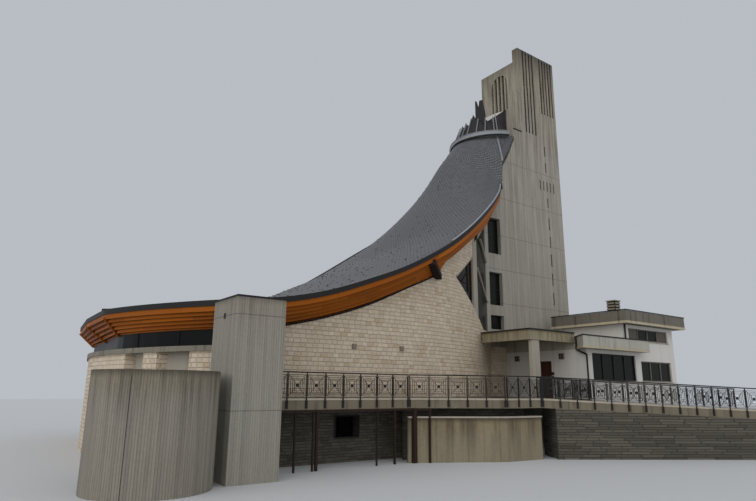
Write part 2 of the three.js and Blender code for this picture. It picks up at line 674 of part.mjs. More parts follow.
function makeCrown() {
  const reach = THREE.MathUtils.degToRad(66);
  const arc = (radius, z) => range(24, -reach, reach).map((a) => crownPoint(radius, a, z));
  const [outerLow, outerHigh] = [arc(crownRadius, crownFoot + g), arc(crownRadius, ringTop)];
  const [innerLow, innerHigh] = [arc(crownRadius - ringWidth, crownFoot + g), arc(crownRadius - ringWidth, ringTop)];
  const ring = loft(outerLow.map((p, i) => [p, outerHigh[i], innerHigh[i], innerLow[i]]));
  addPart('crown_ring', 'zinc', ring);
  const blade = (radius, lean, tops) => loft(tops.map(([angle, top]) => {
    const turn = THREE.MathUtils.degToRad(angle);
    const tip = radius - lean * (top - bladeFoot);
    return [crownPoint(radius, turn, bladeFoot), crownPoint(tip, turn, top),
      crownPoint(tip - bladeThickness, turn, top), crownPoint(radius - bladeThickness, turn, bladeFoot)];
  }));
  const edges = [[3140, 20900], [3140, 21000], [2100, 21000], [2100, 20900]].map(([r, z]) => arc(r, z));
  const base = loft(edges[0].map((_, i) => edges.map((edge) => edge[i])));
  const low = lowBlades.map(([from, to, high, dip]) => blade(3120, 0.42, [[from, high], [to, dip]]));
  addPart('crown_fins', 'darkMetal', join(base, ...low, blade(2400, 0, tallBlades)));
  const lantern = new THREE.CylinderGeometry(1750, 1750, 2800, 32).rotateX(Math.PI / 2).translate(25900, 3100, 20902 + 1400);
  const keep = box([20000, shaftLeft - g], [0, 6200], [20000, 24000]);
  const topCut = box([-4000, 4000], [-4000, 4000], [0, 3000]).rotateY(-Math.atan(0.86)).translate(25900, 3100, 23590);
  const half = toSolid(lantern).intersect(toSolid(keep)).subtract(toSolid(topCut));
  addPart('crown_lantern', 'zinc', toGeometry(half));
}

// Porch and annex
const canopyX = 19400;
const canopyY = -5100;
const canopyTop = 6210;
const canopyBeamBottom = 5660;
const lowRoof = [5300, 6010];
const upperRoof = [6950, 7700];
const annexLeft = doorWallX;
const annexRight = 32850;
const upperLeft = 27050;
const annexBackY = -1600;
const partWall = 300;

function makePorch() {
  addPart('porch_column', 'paleConcrete', box([canopyX + 170, canopyX + 810], [canopyY + 50, canopyY + 240],
    [floorTop, canopyBeamBottom]));
  const wallLine = bends(wallBends).map((s) => at(s, g, 0)).filter((p) => p.x > canopyX && p.y < -g)
    .map((p) => [p.x, p.y]);
  const startAngle = Math.asin((canopyX - bendX) / (bendRadius + g));
  const startY = frontY + bendRadius - (bendRadius + g) * Math.cos(startAngle) - 20;
  const outline = [[canopyX, canopyY], [doorWallX - g, canopyY], [doorWallX - g, -g], [21700, -g],
    ...wallLine.reverse(), [canopyX, startY]];
  const deckSlab = slab(outline, 5950, canopyTop);
  const frontBeam = box([canopyX, doorWallX - g], [canopyY, canopyY + 350], [canopyBeamBottom, 6000]);
  const leftBeam = box([canopyX, canopyX + 350], [canopyY, startY - 60], [canopyBeamBottom, 6000]);
  addPart('porch_canopy', 'paleConcrete', join(deckSlab, frontBeam, leftBeam));
}

function makeAnnex() {
  addPart('door_wall', 'render', wallYZ([[annexFrontY, 0], [-g, 0], [-g, lowRoof[0]], [annexFrontY, lowRoof[0]]],
    [rectangle([doorNear, doorFar], [doorSill, doorSill + doorHeight])], doorWallX, doorWallX + partWall));
  const lowWindows = [[[23800, 28200], [3600, 5100]], [[28800, 32300], [3600, 4800]]];
  const highWindow = [[27700, 32200], [6030, 6750]];
  const frontSpan = [annexFrontY, annexFrontY + partWall];
  addPart('annex_front_wall', 'render', wallXZ(rectangle([annexLeft + partWall, annexRight], [0, lowRoof[0]]),
    lowWindows.map(([u, v]) => rectangle(u, v)), ...frontSpan));
  addPart('annex_upper_front_wall', 'render', wallXZ(rectangle([upperLeft, annexRight], [lowRoof[0], upperRoof[0]]),
    [rectangle(...highWindow)], ...frontSpan));
  const inside = annexFrontY + partWall;
  addPart('annex_right_wall', 'render', box([annexRight - partWall, annexRight], [inside, annexBackY], [0, upperRoof[0]]));
  addPart('annex_back_wall', 'render', join(
    box([upperLeft - partWall, annexRight], [annexBackY, annexBackY + partWall], [0, lowRoof[0]]),
    box([upperLeft, annexRight], [annexBackY, annexBackY + partWall], [0, upperRoof[0]]),
    box([upperLeft, upperLeft + partWall], [inside, annexBackY + 10], [lowRoof[0], upperRoof[0]]),
    box([upperLeft - partWall, upperLeft], [annexBackY, -g], [0, lowRoof[0]])));
  addPart('annex_floor', 'concrete', slab([[annexLeft + partWall + g, inside + g], [annexRight - partWall - g, inside + g],
    [annexRight - partWall - g, annexBackY - g], [upperLeft - partWall - g, annexBackY - g],
    [upperLeft - partWall - g, -g], [annexLeft + partWall + g, -g]], floorBottom, floorTop));
  addPart('annex_low_roof', 'paleConcrete', slab([[22200, -6400], [28800, -6400], [28800, annexFrontY - g],
    [upperLeft - g, annexFrontY - g], [upperLeft - g, -g], [doorWallX, -g], [doorWallX, canopyY - g]],
    ...lowRoof));
  addPart('annex_upper_roof', 'paleConcrete', box([26580, 33430], [-6400, -1100], upperRoof));
  addPart('chimney', 'rust', box([29630, 30180], [-3900, -3350], [upperRoof[1] + g, 8850]));
  [...lowWindows, highWindow].forEach(([u, v], i) => {
    addPart(`annex_window_${i + 1}`, 'glass', box([u[0] + g, u[1] - g], [annexFrontY + 130, annexFrontY + 170],
      [v[0] + g, v[1] - g]));
  });
}

// Entrance door, hinged at its far side and opening into the annex
const jamb = 60;
const leafThickness = 50;
const leafGap = 6;
const hingeX = doorWallX + 250;

const barrelRadius = 8;
const hingeAxis = [hingeX + barrelRadius + touchGap, doorFar - jamb - leafGap - barrelRadius];

function makeDoor() {
  const outer = rectangle([doorNear + g, doorFar - g], [doorSill, doorSill + doorHeight - g]);
  const frameInner = [[doorNear + jamb, doorSill], [doorFar - jamb, doorSill],
    [doorFar - jamb, doorSill + doorHeight - jamb], [doorNear + jamb, doorSill + doorHeight - jamb]];
  const frame = [outer[0], frameInner[0], frameInner[3], frameInner[2], frameInner[1], outer[1], outer[2], outer[3]];
  addPart('door_frame', 'doorRed', wallYZ(frame, [], hingeX - 100, hingeX));
  addPart('entrance_door', 'doorRed', box([hingeX - leafThickness, hingeX],
    [doorNear + jamb + leafGap, doorFar - jamb - leafGap],
    [doorSill + 10, doorSill + doorHeight - jamb - leafGap]));
  const plate = box([hingeX + touchGap, hingeX + 4], [hingeAxis[1] + 4, doorFar - 25],
    [doorSill + 150, doorSill + 1950]);
  const barrels = [250, 1050, 1750].map((height) => new THREE.CylinderGeometry(barrelRadius, barrelRadius, 100, 16)
    .rotateX(Math.PI / 2).translate(...hingeAxis, doorSill + height));
  addPart('door_hinges', 'rust', join(plate, ...barrels));
}

// Railings: posts fixed to the side of the slab, with three rails
const railHeight = 1050;
const postWidth = 50;

function railing(name, [x0, y0, z0], [x1, y1, z1], bays) {
  const length = Math.hypot(x1 - x0, y1 - y0);
  const angle = Math.atan2(y1 - y0, x1 - x0);
  const rise = z1 - z0;
  const parts = [];
  const slope = (along, height) => rise * along / length + height;
  const bar = (height, thickness) => {
    const outline = [[0, slope(0, height)], [length, slope(length, height)],
      [length, slope(length, height) + thickness], [0, slope(0, height) + thickness]];
    return prism(outline, 40).rotateX(Math.PI / 2).translate(0, 20, 0);
  };
  parts.push(bar(railHeight - 50, 50), bar(90, 30));
  for (let i = 0; i <= bays; i += 1) {
    const along = Math.min(Math.max(length * i / bays, postWidth / 2), length - postWidth / 2);
    parts.push(box([along - postWidth / 2, along + postWidth / 2], [-25, 25], [slope(along, -300), slope(along, railHeight)]));
  }
  for (let i = 0; i < bays; i += 1) {
    const [a, b] = [length * i / bays, length * (i + 1) / bays];
    const [low, high] = [105, railHeight - 25];
    const strut = (u0, v0, u1, v1) => {
      const run = new THREE.Vector2(u1 - u0, v1 - v0);
      const normal = new THREE.Vector2(-run.y, run.x).normalize().multiplyScalar(12);
      const outline = [[u0 - normal.x, v0 - normal.y], [u1 - normal.x, v1 - normal.y],
        [u1 + normal.x, v1 + normal.y], [u0 + normal.x, v0 + normal.y]];
      return prism(outline, 16).rotateX(Math.PI / 2).translate(0, 8, 0);
    };
    parts.push(strut(a, slope(a, low), b, slope(b, high)), strut(a, slope(a, high), b, slope(b, low)));
  }
  const mesh = addPart(name, 'darkMetal', join(...parts));
  mesh.rotation.z = angle;
  mesh.position.set(x0, y0, z0);
}

// Railing along a line, its posts just clear of the edge it stands beside
function railingBeside(name, from, to, top, drop, bays, side) {
  const clear = -side * (postWidth / 2 + touchGap);
  const inset = 45 / Math.hypot(to[0] - from[0], to[1] - from[1]);
  const [start, end] = [inset, 1 - inset].map((share) => beside(from, to, share, clear));
  railing(name, [...start, top - drop * inset], [...end, top - drop * (1 - inset)], bays);
}

function makeRailings() {
  const deckStart = [pierX[1] + 20, deckFrontY];
  railingBeside('deck_railing_1', deckStart, deckTurns[0], floorTop, 0, 8, 1);
  railingBeside('deck_railing_2', deckTurns[0], deckTurns[1], floorTop, 0, 5, 1);
  railingBeside('deck_railing_3', deckTurns[1], deckTurns[2], floorTop, 0, 3, 1);
  railingBeside('ramp_railing_near', rampStart, rampEnd, floorTop, rampDrop, 13, 1);
  railingBeside('ramp_railing_far', onRamp(0.06, rampWidth), onRamp(1, rampWidth), floorTop - rampDrop * 0.06,
    rampDrop * 0.94, 12, -1);
  railingBeside('porch_railing', [onRamp(0, rampWidth)[0] + 600, annexFrontY - g], [doorWallX - 60, annexFrontY - g],
    floorTop, 0, 6, 1);
}

makeNaveWalls();
makeEndWall();
makeRoof();
makeSoffits();
makeGlazing();
makeFloors();
makePierAndDrum();
makeTower();
makeCrown();
makePorch();
makeAnnex();
makeDoor();
makeRailings();

const bounds = new THREE.Box3().setFromObject(site);
const centre = bounds.getCenter(new THREE.Vector3());
site.position.set(-centre.x, -centre.y, -bounds.min.z);
church.updateMatrixWorld(true);

export default church;
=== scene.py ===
import math
import bmesh
import bpy
import numpy as np
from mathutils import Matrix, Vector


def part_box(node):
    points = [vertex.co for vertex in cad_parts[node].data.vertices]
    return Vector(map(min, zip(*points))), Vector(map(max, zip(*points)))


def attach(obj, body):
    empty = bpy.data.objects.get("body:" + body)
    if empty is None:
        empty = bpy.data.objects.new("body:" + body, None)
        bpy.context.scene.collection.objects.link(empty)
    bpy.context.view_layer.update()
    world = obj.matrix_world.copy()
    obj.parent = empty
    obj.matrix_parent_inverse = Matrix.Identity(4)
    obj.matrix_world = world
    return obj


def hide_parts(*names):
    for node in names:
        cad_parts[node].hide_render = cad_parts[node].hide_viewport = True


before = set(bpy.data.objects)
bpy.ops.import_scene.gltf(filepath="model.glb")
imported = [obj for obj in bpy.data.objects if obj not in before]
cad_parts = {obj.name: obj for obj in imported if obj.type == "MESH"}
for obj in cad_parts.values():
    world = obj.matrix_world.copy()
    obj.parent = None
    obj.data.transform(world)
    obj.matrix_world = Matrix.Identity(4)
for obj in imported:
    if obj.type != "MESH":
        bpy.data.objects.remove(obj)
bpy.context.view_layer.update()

# Site measures: x along the street front, y into the depth, z up, in metres.
SITE = np.array(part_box("corner_pier")[0]) - (2.5, -6.54, 0.0)


# Surface makers. Each gives points on the site and faces that index them.
def at(x, y, z):
    """Points from their coordinates; a single number stands for all of its row."""
    return np.stack(np.broadcast_arrays(np.asarray(x, float), y, z), -1)


def rectangle(left, right, low, high):
    """A rectangular profile for sweep."""
    return [(left, low), (right, low), (right, high), (left, high)]


def sweep(path, across, up, profile):
    """A profile carried along a path, with both ends closed.

    point(i, j) = path(i) + across(i) * a(j) + up(i) * b(j) for the corners (a, b) of the profile.
    """
    path = np.asarray(path, float)
    across = np.broadcast_to(np.asarray(across, float), path.shape)
    up = np.broadcast_to(np.asarray(up, float), path.shape)
    profile = np.asarray(profile, float)
    grid = path[:, None] + across[:, None] * profile[None, :, :1] + up[:, None] * profile[None, :, 1:]
    number = np.arange(grid.shape[0] * grid.shape[1]).reshape(grid.shape[:2])
    beside = np.roll(number, -1, axis=1)
    faces = np.stack([number[:-1], beside[:-1], beside[1:], number[1:]], -1).reshape(-1, 4).tolist()
    return grid.reshape(-1, 3), faces + [number[0].tolist(), number[-1].tolist()]


def plate(grid, offset):
    """A closed plate: the grid of points, the same grid moved by the offset, and its four edges."""
    grid = np.asarray(grid, float)
    rows, columns = grid.shape[:2]
    count = rows * columns
    number = np.arange(count).reshape(rows, columns)

    def quads(a, b, c, d):
        return np.stack([a, b, c, d], -1).reshape(-1, 4)

    top = quads(number[:-1, :-1], number[1:, :-1], number[1:, 1:], number[:-1, 1:])
    faces = [top, top[:, ::-1] + count]
    for edge in (number[:, 0], number[::-1, -1], number[-1, :], number[0, ::-1]):
        faces.append(quads(edge[:-1], edge[:-1] + count, edge[1:] + count, edge[1:]))
    points = np.concatenate([grid.reshape(-1, 3), (grid + offset).reshape(-1, 3)])
    return points, np.concatenate(faces).tolist()


def unit(vectors):
    """Vectors brought to length 1: each divided by its length."""
    vectors = np.asarray(vectors, float)
    return vectors / np.maximum(np.linalg.norm(vectors, axis=-1, keepdims=True), 1e-9)


def rods(starts, ends, width, depth=None, sides=4, up=(0, 0, 1)):
    """Straight rods, all at once.

    corner(rod, end, k) = end + side * width/2 * cos(angle k) + top * depth/2 * sin(angle k), where
    side = run x up and top = side x run. Four sides give a rectangle of width by depth.
    """
    starts, ends = np.atleast_2d(np.asarray(starts, float)), np.atleast_2d(np.asarray(ends, float))
    starts, ends = np.broadcast_arrays(starts, ends)
    run = unit(ends - starts)
    up = np.broadcast_to(np.asarray(up, float), run.shape)
    upright = np.abs((run * unit(up)).sum(-1, keepdims=True)) > 0.99
    side = unit(np.cross(run, np.where(upright, [0.0, 1.0, 0.0], up)))
    top = np.cross(side, run)
    angle = (np.arange(sides) + 0.5) * 2 * math.pi / sides
    grow = 1 / math.cos(math.pi / sides) / 2
    width = np.asarray(width, float).reshape(-1, 1, 1)
    depth = width if depth is None else np.asarray(depth, float).reshape(-1, 1, 1)
    ring = (side[:, None] * width * np.cos(angle)[None, :, None]
            + top[:, None] * depth * np.sin(angle)[None, :, None]) * grow
    points = np.stack([starts[:, None] + ring, ends[:, None] + ring], 1).reshape(-1, 3)
    first = np.arange(len(run))[:, None, None] * 2 * sides
    k = np.arange(sides)
    n = (k + 1) % sides
    walls = (np.stack([k, n, n + sides, k + sides], -1)[None] + first).reshape(-1, 4).tolist()
    caps = np.stack([k, k + sides])[None] + first
    return points, walls + caps.reshape(-1, sides).tolist()


def blocks(lows, highs):
    """Upright boxes, all at once: corner = low + (high - low) * pick, a 0 or 1 for each coordinate."""
    lows, highs = np.atleast_2d(np.asarray(lows, float)), np.atleast_2d(np.asarray(highs, float))
    pick = np.array([(x, y, z) for z in (0, 1) for x, y in ((1, 1), (0, 1), (0, 0), (1, 0))])
    corners = lows[:, None] + (highs - lows)[:, None] * pick
    return corners.reshape(-1, 3), rods(lows, highs, 1.0)[1]


def together(*parts):
    """Several parts as one list of points and faces."""
    points, faces, count = [], [], 0
    for part_points, part_faces in parts:
        points.append(np.asarray(part_points, float))
        faces += [[corner + count for corner in face] for face in part_faces]
        count += len(part_points)
    return np.concatenate(points), faces


def piece(name, part, finish, body="building", stands_for=(), smooth=None, uv=None, bevel=0):
    """One object of the scene from points on the site; its closed shells are turned outwards."""
    points, faces = part
    mesh = bpy.data.meshes.new(name)
    mesh.from_pydata((np.asarray(points, float) + SITE).tolist(), [], faces)
    if uv is not None:
        corner = np.empty(len(mesh.loops), int)
        mesh.loops.foreach_get("vertex_index", corner)
        layer = mesh.uv_layers.new(name="UVMap")
        layer.data.foreach_set("uv", np.asarray(uv, float)[corner].astype(np.float32).ravel())
    shape = bmesh.new()
    shape.from_mesh(mesh)
    bmesh.ops.remove_doubles(shape, verts=shape.verts, dist=1e-5)
    bmesh.ops.recalc_face_normals(shape, faces=shape.faces)
    shape.to_mesh(mesh)
    shape.free()
    if smooth is not None:
        mesh.polygons.foreach_set("use_smooth", np.ones(len(mesh.polygons), bool))
        mesh.set_sharp_from_angle(angle=math.radians(smooth))
    mesh.materials.append(finish)
    made = bpy.data.objects.new(name, mesh)
    bpy.context.scene.collection.objects.link(made)
    if bevel:
        edge = made.modifiers.new("edge", "BEVEL")
        edge.width = bevel
        edge.segments = 2
        edge.limit_method = "ANGLE"
    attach(made, body)
    if stands_for:
        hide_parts(*stands_for)


# Shader maths
class Value:
    """A node socket that adds Math nodes when it stands in an expression."""

    def __init__(self, finish, socket):
        self.finish = finish
        self.socket = socket

    def math(self, operation, *others, first=None):
        """A Math node on this value and the others, or on first and the others."""
        inputs = [self if first is None else first, *others]
        return self.finish.node("ShaderNodeMath", {"operation": operation}, dict(enumerate(inputs)))

    def __add__(self, other):
        return self.math("ADD", other)

    def __radd__(self, other):
        return self.math("ADD", self, first=other)

    def __sub__(self, other):
        return self.math("SUBTRACT", other)

    def __rsub__(self, other):
        return self.math("SUBTRACT", self, first=other)

    def __mul__(self, other):
        return self.math("MULTIPLY", other)

    def __rmul__(self, other):
        return self.math("MULTIPLY", self, first=other)

    def __truediv__(self, other):
        return self.math("DIVIDE", other)

    def floor(self):
        """The whole number below."""
        return self.math("FLOOR")

    def part(self):
        """What is over the whole number below."""
        return self.math("FRACT")

    def least(self, other):
        """The smaller of the two."""
        return self.math("MINIMUM", other)

    def most(self, other):
        """The larger of the two."""
        return self.math("MAXIMUM", other)

    def rise(self, low, high, start=0.0, end=1.0):
        """A soft step from start to end while this value goes from low to high."""
        return self.finish.node(
            "ShaderNodeMapRange", {"interpolation_type": "SMOOTHSTEP"},
            {"Value": self, "From Min": low, "From Max": high, "To Min": start, "To Max": end})


class Finish:
    """A procedural material: its shader, and the nodes that feed it."""

    def __init__(self, name, roughness=0.8, metallic=0.0, **constants):
        self.material = bpy.data.materials.new(name)
        self.material.use_nodes = True
        self.tree = self.material.node_tree
        self.shader = self.tree.nodes["Principled BSDF"]
        self.shader.inputs["Roughness"].default_value = roughness
        self.shader.inputs["Metallic"].default_value = metallic
        for key, number in constants.items():
            self.shader.inputs[key.replace("_", " ")].default_value = number

    def node(self, kind, settings=None, inputs=None, output=0):
        """A node with its settings, then its inputs, numbers or links; gives the wanted output."""
        made = self.tree.nodes.new(kind)
        for key, value in (settings or {}).items():
            setattr(made, key, value)
        for key, value in (inputs or {}).items():
            if isinstance(value, Value):
                self.tree.links.new(value.socket, made.inputs[key])
            else:
                made.inputs[key].default_value = value
        return Value(self, made.outputs[output])

    def place(self):
        """x, y and z on the site."""
        raw = self.node("ShaderNodeTexCoord", output="Object")
        moved = self.node("ShaderNodeVectorMath", {"operation": "SUBTRACT"}, {0: raw, 1: tuple(SITE)})
        return self.parts(moved)

    def parts(self, vector):
        """The three numbers of a vector."""
        split = self.tree.nodes.new("ShaderNodeSeparateXYZ")
        self.tree.links.new(vector.socket, split.inputs[0])
        return [Value(self, socket) for socket in split.outputs]

    def vector(self, x, y, z=0.0):
        """A vector of three numbers."""
        return self.node("ShaderNodeCombineXYZ", inputs={0: x, 1: y, 2: z})

    def noise(self, vector, scale=1.0, detail=3.0, roughness=0.55):
        """Soft random clouds between 0 and 1, scale of them to a unit of the vector."""
        inputs = {"Vector": vector, "Scale": scale, "Detail": detail, "Roughness": roughness}
        return self.node("ShaderNodeTexNoise", {}, inputs, "Fac")

    def chance(self, x, y, z=0.0):
        """A random number between 0 and 1 for each whole x, y and z."""
        return self.node("ShaderNodeTexWhiteNoise", {"noise_dimensions": "3D"},
                         {"Vector": self.vector(x, y, z)}, "Value")

    def mix(self, share, first, second):
        """A colour between two others."""
        def full(colour):
            return colour if isinstance(colour, Value) else (*colour, 1.0)

        inputs = {0: share, 6: full(first), 7: full(second)}
        return self.node("ShaderNodeMix", {"data_type": "RGBA"}, inputs, 2)

    def shade(self, colour, factor):
        """A colour made darker or lighter by a factor."""
        first = colour if isinstance(colour, Value) else tuple(colour)
        return self.node("ShaderNodeVectorMath", {"operation": "SCALE"}, {0: first, "Scale": factor})

    def feed(self, name, value):
        """Links a value to an input of the shader."""
        self.tree.links.new(value.socket, self.shader.inputs[name])

    def relief(self, height, distance, strength=1.0):
        """Bump: the height, at a distance in metres, turns the normal."""
        inputs = {"Height": height, "Distance": distance, "Strength": strength}
        self.feed("Normal", self.node("ShaderNodeBump", {}, inputs, "Normal"))


def edge_gap(value, size):
    """How far a value lies from the nearest whole multiple of size."""
    share = (value / size).part()
    return share.least(1.0 - share) * size


# The nave's plan: straight to BEND, then round BEND_CENTRE; behind, its mirror image. The tables give
# heights by x: eaves, ridge, top of the stone, and how far the ridge point lies before its eave.
FRONT = -3.4
BEND = 12.0
RADIUS = 16.0
BEND_CENTRE = (12.0, 12.6)
AXIS_START = (0.38, 7.45)
AXIS_END = (21.8, 3.1)
AXIS_SLOPE = (AXIS_END[1] - AXIS_START[1]) / (AXIS_END[0] - AXIS_START[0])
END_LEAN = 0.0645
LEAN_START = 3.6
END_CENTRE = (16.86, 5.5)
END_RADIUS = 16.49
EAVES = [(2.76, 6.22), (5.4, 6.6), (7.4, 7.08), (9.45, 7.8), (11.7, 8.72), (14.38, 10.14), (16.23, 11.33),
         (18.8, 13.2), (21.83, 15.45), (23.4, 16.65)]
RIDGE = [(-0.4, 6.3), (4.0, 6.7), (9.0, 8.06), (11.4, 9.15), (14.0, 10.37), (15.97, 11.39), (17.55, 13.11),
         (19.2, 15.25), (20.4, 17.1), (21.47, 19.09), (22.8, 20.7)]
BULGE = [(2.76, 2.57), (5.4, 2.6), (9.45, 2.0), (11.7, 1.8), (14.6, 1.7), (17.1, 1.7), (20.4, 1.9),
         (23.4, 2.0)]
STONE_TOP = [(2.7, 5.15), (4.3, 5.35), (5.95, 5.64), (8.08, 6.18), (10.19, 6.9), (12.53, 7.95), (14.54, 8.85),
             (15.96, 9.72), (17.41, 10.75), (18.51, 11.53), (20.0, 12.5), (21.948, 13.764), (22.427, 14.4),
             (22.953, 15.163), (23.396, 15.961)]
TOWER_EDGE = [(23.64, 17.15), (23.74, 18.48), (24.33, 19.4), (24.82, 20.33), (25.06, 20.7)]
NAVE_MIDDLE = np.array([10.0, 4.0])
END_EDGE_X = 2.76
FOLD = 0.44
FOLD_BULGE = 0.058
ROOF_THICKNESS = 0.25
SOFFIT_GAP = 0.08
FASCIA_DEPTH = 0.19
BAND_TOP = 5.27
LAST_BEND = math.radians(41.8)
BENDS = np.linspace(0, LAST_BEND, 40)[1:]
TOWER_ROWS = 20


def curve_value(table, x):
    """Height at x on the smooth line through a table.

    Between two rows it is the cubic that has their heights, and at each row the slope of the line
    between that row's neighbours.
    """
    at, height = np.array(table, float).T
    x = np.clip(x, at[0], at[-1])
    i = np.clip(np.searchsorted(at, x, side="right") - 1, 0, len(at) - 2)
    row = np.arange(len(at))
    before, after = np.maximum(row - 1, 0), np.minimum(row + 1, len(at) - 1)
    slope = (height[after] - height[before]) / (at[after] - at[before])
    width = at[i + 1] - at[i]
    t = (x - at[i]) / width
    return (height[i] * (1 + 2 * t) * (1 - t) ** 2 + height[i + 1] * t * t * (3 - 2 * t)
            + slope[i] * width * t * (1 - t) ** 2 - slope[i + 1] * width * t * t * (1 - t))


def axis_y(x):
    """y of the slanted centre line at x; level past AXIS_END."""
    return AXIS_START[1] + AXIS_SLOPE * (np.minimum(x, AXIS_END[0]) - AXIS_START[0])


def mirrored(points):
    """The matching points behind the centre line, along the leaning cross section."""
    points = np.asarray(points, float)
    straight = np.clip((points[..., 0] - LEAN_START) / (AXIS_END[0] - LEAN_START), 0, 1)
    lean = END_LEAN * (1 - straight)
    run = (axis_y(points[..., 0]) - points[..., 1]) / (1 - AXIS_SLOPE * lean)
    return at(points[..., 0] + 2 * run * lean, points[..., 1] + 2 * run, points[..., 2])


def wall_line(run, outwards=0.0):
    """Points along the nave's long side at a distance outwards of its face, and the outward direction.

    Up to BEND the run is x; past it the line turns by (run - BEND) / RADIUS round BEND_CENTRE.
    """
    run = np.asarray(run, float)
    angle = np.maximum(run - BEND, 0) / RADIUS
    out = at(np.sin(angle), -np.cos(angle), 0)
    x = np.where(run < BEND, run, BEND + RADIUS * np.sin(angle))
    base = at(x, FRONT + RADIUS * (1 - np.cos(angle)), 0)
    return base + out * np.asarray(outwards, float)[..., None], out


def eave_line(run):
    """The eave over the long side: a metre outwards of the wall, at the height in EAVES."""
    points = wall_line(run, 1.0)[0]
    points[..., 2] = curve_value(EAVES, points[..., 0])
    return points


def roof_stations():
    """Eave points and ridge points of the cross sections, from the end edge to the crown.

    Along the wall the eave is eave_line and the ridge lies BULGE before it on the centre line; beside
    the tower the edge climbs TOWER_EDGE, in TOWER_ROWS equal steps of the table.
    """
    straight = np.linspace(LEAN_START, BEND, 17)
    eave = eave_line(np.concatenate([[END_EDGE_X, 3.2], straight, BEND + RADIUS * BENDS]))
    ridge_x = eave[:, 0] - curve_value(BULGE, eave[:, 0])
    tower = np.array([(eave[-1, 0], eave[-1, 2]), *TOWER_EDGE])
    step = np.linspace(0, len(tower) - 1, TOWER_ROWS + 1)[1:]
    x, z = (np.interp(step, np.arange(len(tower)), tower[:, k]) for k in (0, 1))
    eave = np.concatenate([eave, at(x, 0, z)])
    tower_ridge = np.minimum(x - 2.26 * (x - 21.7) / 3.36, 22.8)
    ridge_x = np.concatenate([ridge_x, np.maximum.accumulate(tower_ridge)])
    return eave, at(ridge_x, axis_y(ridge_x), curve_value(RIDGE, ridge_x))


def roof_points(eave, ridge, t):
    """The roof: a point for each section and each t, from -1 at the street eave to 1 behind.

    In plan it runs from the eave over the ridge point to the mirrored eave, bending back by t squared,
    or by two straight folds near the end edge; its height is ridge + (eave - ridge) * t squared.
    """
    behind = mirrored(eave)
    half, bend = (behind - eave) / 2, (behind + eave) / 2 - ridge
    folded = 1 - np.minimum((eave[:, :1] - END_EDGE_X) / 6.0, 1)
    t = np.broadcast_to(np.asarray(t, float), (len(eave), np.shape(t)[-1]))
    past = (np.abs(t) - FOLD) / (1 - FOLD)
    outer = FOLD_BULGE + (1 - FOLD_BULGE) * (0.62 * past + 0.38 * past ** 2)
    fold = np.where(past < 0, FOLD_BULGE * np.abs(t) / FOLD, outer)
    share = folded * fold + (1 - folded) * t * t
    plan = ridge[:, None, :2] + half[:, None, :2] * t[..., None] + bend[:, None, :2] * share[..., None]
    height = ridge[:, None, 2] + (eave[:, None, 2] - ridge[:, None, 2]) * t * t
    return np.concatenate([plan, height[..., None]], -1)


EAVE_POINTS, RIDGE_POINTS = roof_stations()
ACROSS = np.concatenate([np.linspace(-1, -FOLD, 17), np.linspace(-FOLD, FOLD, 25)[1:-1],
                         np.linspace(FOLD, 1, 17)])
EAVE_ROWS = len(EAVE_POINTS) - TOWER_ROWS
# Beside the tower the slates stop at a fold, given as a share of the way from ridge to edge.
ROW_PLACE = np.append(np.zeros(EAVE_ROWS), np.linspace(0, len(TOWER_EDGE), TOWER_ROWS + 1)[1:])
FOLD_SHARE = np.interp(ROW_PLACE, [2, 2.25, 2.5, 2.75, 3, 3.5, 4, 5],
                       [1, 0.969, 0.937, 0.908, 0.881, 0.8365, 0.797, 0.763])
ROOF = roof_points(EAVE_POINTS, RIDGE_POINTS, ACROSS[None] * FOLD_SHARE[:, None])
END_EDGE = ROOF[0]


def roof_underside(points):
    """Height of the roof's underside at points in plan.

    It is the mean of the four nearest points of the roof, weighted by one over the squared distance,
    less the roof's thickness.
    """
    flat = ROOF.reshape(-1, 3)
    apart = ((points[:, None, :2] - flat[None, :, :2]) ** 2).sum(-1)
    near = np.argsort(apart, axis=1)[:, :4]
    weight = 1 / (np.take_along_axis(apart, near, 1) + 1e-6)
    return (flat[near, 2] * weight).sum(1) / weight.sum(1) - ROOF_THICKNESS


def lengths(grid, axis):
    """Distance walked along a grid of points from its first row or column."""
    steps = np.linalg.norm(np.diff(grid, axis=axis), axis=-1)
    start = np.zeros_like(np.take(steps, [0], axis))
    return np.concatenate([start, np.cumsum(steps, axis)], axis)


# Finishes
def nave_run(x, y):
    """Run along the nave's walls, for stone courses: x, then the angle at BEND_CENTRE times RADIUS.

    A point behind the centre line counts as its mirror image in front.
    """
    centre = (x - AXIS_START[0]) * AXIS_SLOPE + AXIS_START[1]
    front = y.least(2.0 * centre - y)
    turned = (x - BEND_CENTRE[0]).math("ARCTAN2", BEND_CENTRE[1] - front)
    return x.least(BEND) + turned.most(0.0) * RADIUS


def end_run(x, y):
    """Run along the round end wall: its angle at END_CENTRE times END_RADIUS."""
    return (y - END_CENTRE[1]).math("ARCTAN2", END_CENTRE[0] - x) * END_RADIUS


